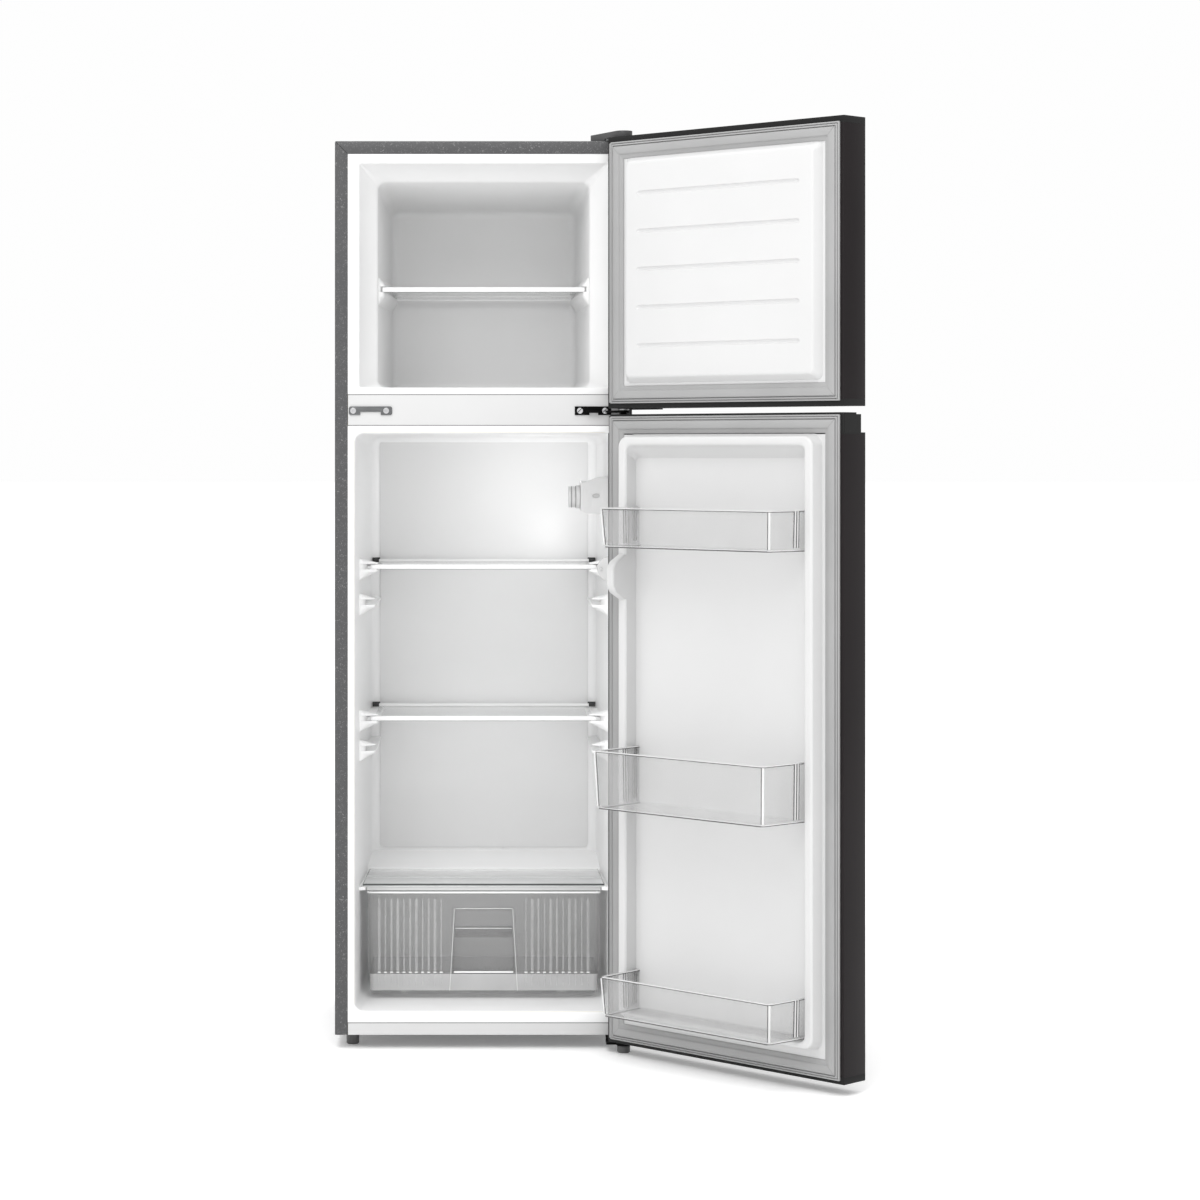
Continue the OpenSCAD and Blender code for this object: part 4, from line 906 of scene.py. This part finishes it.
def fridge_panel():
    """Inner face of the fresh food door: a raised frame around a deep hollow."""
    stations = panel_rim(33.2, 1136)
    stations += [(230.5, 71.6, 1137.2, 22, -8), (229, 73, 1136, 21, -7.2), (228, 74, 1135, 20, -5.5)]
    for i in range(7):
        t = math.radians(90 * i / 6)
        d = 5 * (1 - math.cos(t))
        stations.append((226.6 - d, 76.8 + d, 1133.2 - d, 20 - d, 14.5 + 5 * math.sin(t)))
    for i in range(7):
        t = math.radians(90 * i / 6)
        d = 5 * math.sin(t)
        stations.append((213 - d, 83 + d, 1125 - 1.8 * d, 12, 19.5 - 5 * (1 - math.cos(t))))
    stations += [(208, 88.8, 1110, 10, 8), (208, 89.7, 1099.4, 10, -4)]
    for i in range(6):
        t = math.radians(90 * i / 5)
        d = 9 * (1 - math.cos(t))
        stations.append((208 - d, 90.4 + d / 4, 1090 - d - 6 * math.sin(t), 10, -14.5 - 9 * math.sin(t)))
    bm = bmesh.new()
    rings(bm, stations)
    finish_mesh("fridge_door_panel", bm, "fridge_door", "white_plastic", ["fridge_door_liner"],
                door=True)


def fridge_panel_details():
    """The tab that meets the light switch, a grey plate painted as shade on the hollow's hinge side, and
    the racks' lugs.
    """
    tab = [(18.5, 836), (44, 850), (52, 862), (52, 894), (44, 906), (18.5, 920)]
    bm = bmesh.new()
    prism(bm, tab, 0, 208.4, 224.5)
    finish_mesh("switch_tab", bm, "fridge_door", "white_plastic", bevel=2.5, segments=4, door=True)
    # grey plate on the hinge side of the hollow, flush with the tab: painted shade on that wall
    outline = [(-13, 94), (15.5, 98), (15.5, 837), (18.5, 838.5), (42, 851.5), (49.5, 863), (49.5, 893),
               (42, 904.5), (18.5, 917.5), (15.5, 919), (15.5, 1102), (-13, 1087)]
    bm = bmesh.new()
    prism(bm, outline, 0, 207.2, 208.6)
    finish_mesh("hollow_side_painted_shade", bm, "fridge_door", "white_plastic", material=HOLLOW_SIDE_SHADE, bevel=0.4,
                door=True)
    bm = bmesh.new()
    for z, height, _ in RACKS.values():
        for side in (-1, 1):
            side_box(bm, side, (203.2, 209), (-13.8, -4.2), (z + height - 34, z + height - 15))
            side_box(bm, side, (203.2, 209), (-12.6, -5.4), (z + 16, z + 30))
    finish_mesh("rack_lugs", bm, "fridge_door", "white_plastic", bevel=1.6, segments=3, door=True)


def seal_ring(name, body, low, high, node):
    """Extruded bellows seal: an outer lip, two folds, the magnet's flat tube and an inner lip."""
    section = [(0.2, -7.9), (0, -5.6), (0.6, -4.2), (1.8, -3.8), (2.8, -4.6), (3.1, -6.6), (3.8, -6.8),
               (4.2, -4.2), (5.0, -2.9), (6.4, -2.8), (7.2, -4.0), (7.5, -6.2), (8.2, -6.4), (8.7, -3.4),
               (9.3, -2.0), (10.4, -1.5), (16.0, -1.35), (21.6, -1.5), (22.8, -2.0), (23.5, -3.2),
               (24.2, -4.4), (25.4, -4.7), (30.4, -5.6), (31.6, -6.4), (32, -7.9)]
    bm = bmesh.new()
    rings(bm, [(SEAL_HALF - u, low + u, high - u, 1.2, y) for u, y in section], wrap=True, n=2)
    finish_mesh(name, bm, body, "seal", [node], door=True, sharp=50)
    bm = bmesh.new()
    box(bm, (265.5, -8.6, low + 1.5), (272.4, -7.5, high - 1.5))
    finish_mesh(name + "_flange", bm, body, "seal", door=True, material=SEAL_SHADE, bevel=0.4)
    # faint welded mitres across the corners
    bm = bmesh.new()
    for sx in (-1, 1):
        for z, sz in ((low, 1), (high, -1)):
            ends = [Vector((sx * (SEAL_HALF - inset), -1.42, z + sz * inset)) for inset in (9.5, 22.5)]
            strip(bm, ends, Vector((0.3, 0, 0.3 * sx * sz)), 0.14)
    finish_mesh(name + "_mitres", bm, body, "seal", door=True, material=SEAL_SHADE)


def rack_row(size, z, inset):
    """Level outline of a rack at the height z: wide at the door, with round corners at the front."""
    z0, height, reach = size
    t = (z - z0) / height
    r = max(9 - inset, 1.5)
    back = -22 + inset
    fh = RACK_FRONT_HALF + RACK_LEAN * t - inset
    bh = RACK_BACK_HALF - inset
    fy = reach - RACK_LEAN * (1 - t) - inset
    corners = ((fh - r, fy - r, r), (-fh + r, fy - r, r), (-bh + 2, back + 2, 2), (bh - 2, back + 2, 2))
    points = []
    for quarter, (cx, cy, rr) in enumerate(corners):
        for i in range(7):
            a = math.radians(90 * quarter + 90 * i / 6)
            points.append((cx + rr * math.cos(a), cy + rr * math.sin(a), z))
    return points


def end_strip(bm, side, size, y, width, rise):
    """Upright strip on the outside of a rack's end, at the depth y."""
    z0, height, reach = size
    rows = []
    for z in (z0 + 6, z0 + height - 1.5):
        t = (z - z0) / height
        front = reach - RACK_LEAN * (1 - t)
        slope = (RACK_FRONT_HALF + RACK_LEAN * t - RACK_BACK_HALF) / (front + 20)
        rows.append([(side * (RACK_BACK_HALF + slope * (v + 20) + out), v, z)
                     for v, out in ((y, rise), (y + width, rise), (y + width, -0.4), (y, -0.4))])
    grid(bm, rows)


def rack_lines(bm, size, bands, corner, posts, strips):
    """Lines along a rack's edges, for its painted highlights and its painted shade: bands around it, its
    front corners, its posts and its ends.

    A band is (height, outset, depth, thickness) and a corner (inset across, inset along, section).
    The posts are (places, width, depth) and the strips (places, width, rise).
    """
    z0, height, reach = size
    top = z0 + height
    for z, out, deep, tall in bands:
        low, high = z - tall / 2, z + tall / 2
        grid(bm, [rack_row(size, low, out), rack_row(size, high, out), rack_row(size, high, out + deep),
                  rack_row(size, low, out + deep)], wrap_rows=True)
    across, along, section = corner
    places, wide, deep = posts
    for side in (-1, 1):
        line = ((side * (193.2 - across), reach - RACK_LEAN - along, z0 + 4),
                (side * (197.2 - across), reach - along, top - 3))
        grid(bm, [[(x + side * dx, y + dy, z) for dx, dy in section] for x, y, z in line])
        for x, y in places:
            side_box(bm, side, (x - wide, x), (y - deep, y), (z0 + 10, top - 0.5))
        for y in strips[0]:
            end_strip(bm, side, size, y, *strips[1:])


def rack(name, body, size, node):
    """Clear tray with a beaded rim, a rounded foot and a channel on each end."""
    z0, height, reach = size
    top = z0 + height
    rows = []
    for t in range(0, 91, 15):
        angle = math.radians(t)
        rows.append(rack_row(size, z0 + 5 * (1 - math.cos(angle)), 5 * (1 - math.sin(angle))))
    rim = [(top - 4.2, 0), (top - 3.4, -0.9), (top - 0.8, -0.9), (top, -0.3), (top, 2.0), (top - 0.8, 2.6),
           (top - 3.4, 2.6), (top - 4.2, 2.0)]
    inside = [(z0 + 8, 2.0), (z0 + 4, 3.4), (z0 + 2.4, 7)]
    rows += [rack_row(size, z, inset) for z, inset in rim + inside]
    bm = bmesh.new()
    grid(bm, rows)
    finish_mesh(name, bm, body, "clear_plastic", [node], door=True, sharp=40)
    bm = bmesh.new()
    for side in (-1, 1):
        for along, low in (((-20, -14.9), z0 + 9), ((-3.1, 2), z0 + 9), ((-15.2, -2.8), top - 13.2)):
            side_box(bm, side, (200.6, 206.6), along, (low, top))
    finish_mesh(name + "_channels", bm, body, "clear_plastic", bevel=0.8, door=True)
    # bright lines along the rack's edges, posts and ends: painted highlights
    bm = bmesh.new()
    rack_lines(bm, size, ((top - 0.9, -0.98, 3.7, 1.6), (z0 + 1.9, -0.1, 2.2, 1.6)),
               (1.4, 1.6, ((-1.5, 1.3), (1.3, 1.3), (1.3, -1.5), (-1.5, -1.5))),
               (((206.2, 1.6), (206.2, -15.3)), 1.4, 1.4), ((22.5, 29), 3.4, 0.9))
    finish_mesh(name + "_edge_highlights", bm, body, "clear_plastic", door=True, material=EDGE_HIGHLIGHT)
    # dark lines along the rack's edges and a dark bar at its foot: painted shade
    bm = bmesh.new()
    rack_lines(bm, size, ((top - 2.6, -0.96, 3.6, 1.5), (z0 + 0.2, 0.6, 3.2, 1.8)),
               (4.6, 1.0, ((-0.7, 0.6), (0.7, 0.6), (0.7, -0.6), (-0.7, -0.6))),
               (((202.4, 1.7), (202.4, -3.6), (206.3, -18.4)), 1.6, 1.2), ((20.6, 26.2, 32.8), 1.2, 1.1))
    box(bm, (-188, reach - RACK_LEAN - 4, z0 - 0.7), (188, reach - RACK_LEAN + 0.4, z0 + 1.6))
    finish_mesh(name + "_edge_shades", bm, body, "clear_plastic", door=True, material=EDGE_SHADE)


def doors():
    """Inner faces, seals and racks."""
    freezer_panel()
    fridge_panel()
    fridge_panel_details()
    seal_ring("freezer_seal", "freezer_door", 1193.6, 1673, "freezer_door_gasket")
    seal_ring("fridge_seal", "fridge_door", 27, 1170, "fridge_door_gasket")
    for place, size in RACKS.items():
        rack(place + "_tray", place + "_door_rack", size, place + "_rack")


painted_cabinet()
liners()
seam_shades()
fridge_rails()
freezer_rails()
drawer_ledges()
shelves()
control_details()
screw_slot_shades()
back_beads()
drawer_tray()
drawer_grip()
drawer_flutes()
drawer_edges()
cover_edges()
doors()


# ---------- camera, floor and light ----------

CAMERA_AT = (0.012, -5.690, 1.115)
LENS = 92.25
SHIFT = (0.0917, -0.128)
FLOOR_HALF = 90000      # half width of the floor, in millimetres
FLOOR_GLOW = 0.15       # keeps the floor as white as the photograph's background
WORLD_STRENGTH = 0.99


def set_camera():
    """Camera at the viewing angle of the picture, level and in front of the cabinet."""
    data = bpy.data.cameras.new("camera")
    data.sensor_width = 36
    data.lens = LENS
    data.shift_x, data.shift_y = SHIFT
    data.clip_end = 100
    camera = bpy.data.objects.new("camera", data)
    camera.location = CAMERA_AT
    camera.rotation_euler = (math.radians(90), 0, 0)
    bpy.context.scene.collection.objects.link(camera)
    bpy.context.scene.camera = camera


def soft_light(name, at, target, size, power):
    """Square soft light that faces a point."""
    data = bpy.data.lights.new(name, "AREA")
    data.size = size
    data.energy = power
    light = bpy.data.objects.new(name, data)
    light.location = at
    light.rotation_euler = (Vector(target) - Vector(at)).to_track_quat("-Z", "Y").to_euler()
    bpy.context.scene.collection.objects.link(light)
    return light


def set_floor():
    """Wide pale floor."""
    half = FLOOR_HALF
    bm = bmesh.new()
    grid(bm, [[(-half, -half, 0), (half, -half, 0)], [(-half, half, 0), (half, half, 0)]],
         wrap_cols=False)
    bm.transform(Matrix.Scale(MM, 4))
    mesh = bpy.data.meshes.new("floor")
    bm.to_mesh(mesh)
    bm.free()
    floor = bpy.data.objects.new("floor", mesh)
    bpy.context.scene.collection.objects.link(floor)
    pale = plain("pale_floor", grey(0.98), 0.9, spread=0.005, cloud=2, grain=60, relief=0.0, spec=0.2)
    shader = pale.node_tree.nodes["Principled BSDF"]
    shader.inputs["Emission Color"].default_value = (1, 1, 1, 1)
    shader.inputs["Emission Strength"].default_value = FLOOR_GLOW
    mesh.materials.append(pale)


def set_light():
    """Even surroundings, soft studio lights and the lamp inside the compartment."""
    world = bpy.data.worlds.new("studio")
    world.use_nodes = True
    backdrop = world.node_tree.nodes["Background"]
    backdrop.inputs["Color"].default_value = (1, 1, 1, 1)
    backdrop.inputs["Strength"].default_value = WORLD_STRENGTH
    bpy.context.scene.world = world
    soft_light("key", (-0.7, -3.1, 3.8), (0, 0, 1.2), 2.2, 52)
    soft_light("overhead", (0, -2.2, 4.4), (0, -2.2, 0), 3.4, 46)
    soft_light("rear_overhead", (0.2, 2.4, 4.2), (0.2, 2.0, 0), 3.4, 40)
    lamp = soft_light("interior_lamp", (0.150, 0.150, 1.022), (0.01, 0.43, 1.03), 0.07, 0.20)
    lamp.data.spread = math.radians(150)
    bpy.context.scene.view_settings.view_transform = "Standard"


set_camera()
set_floor()
set_light()
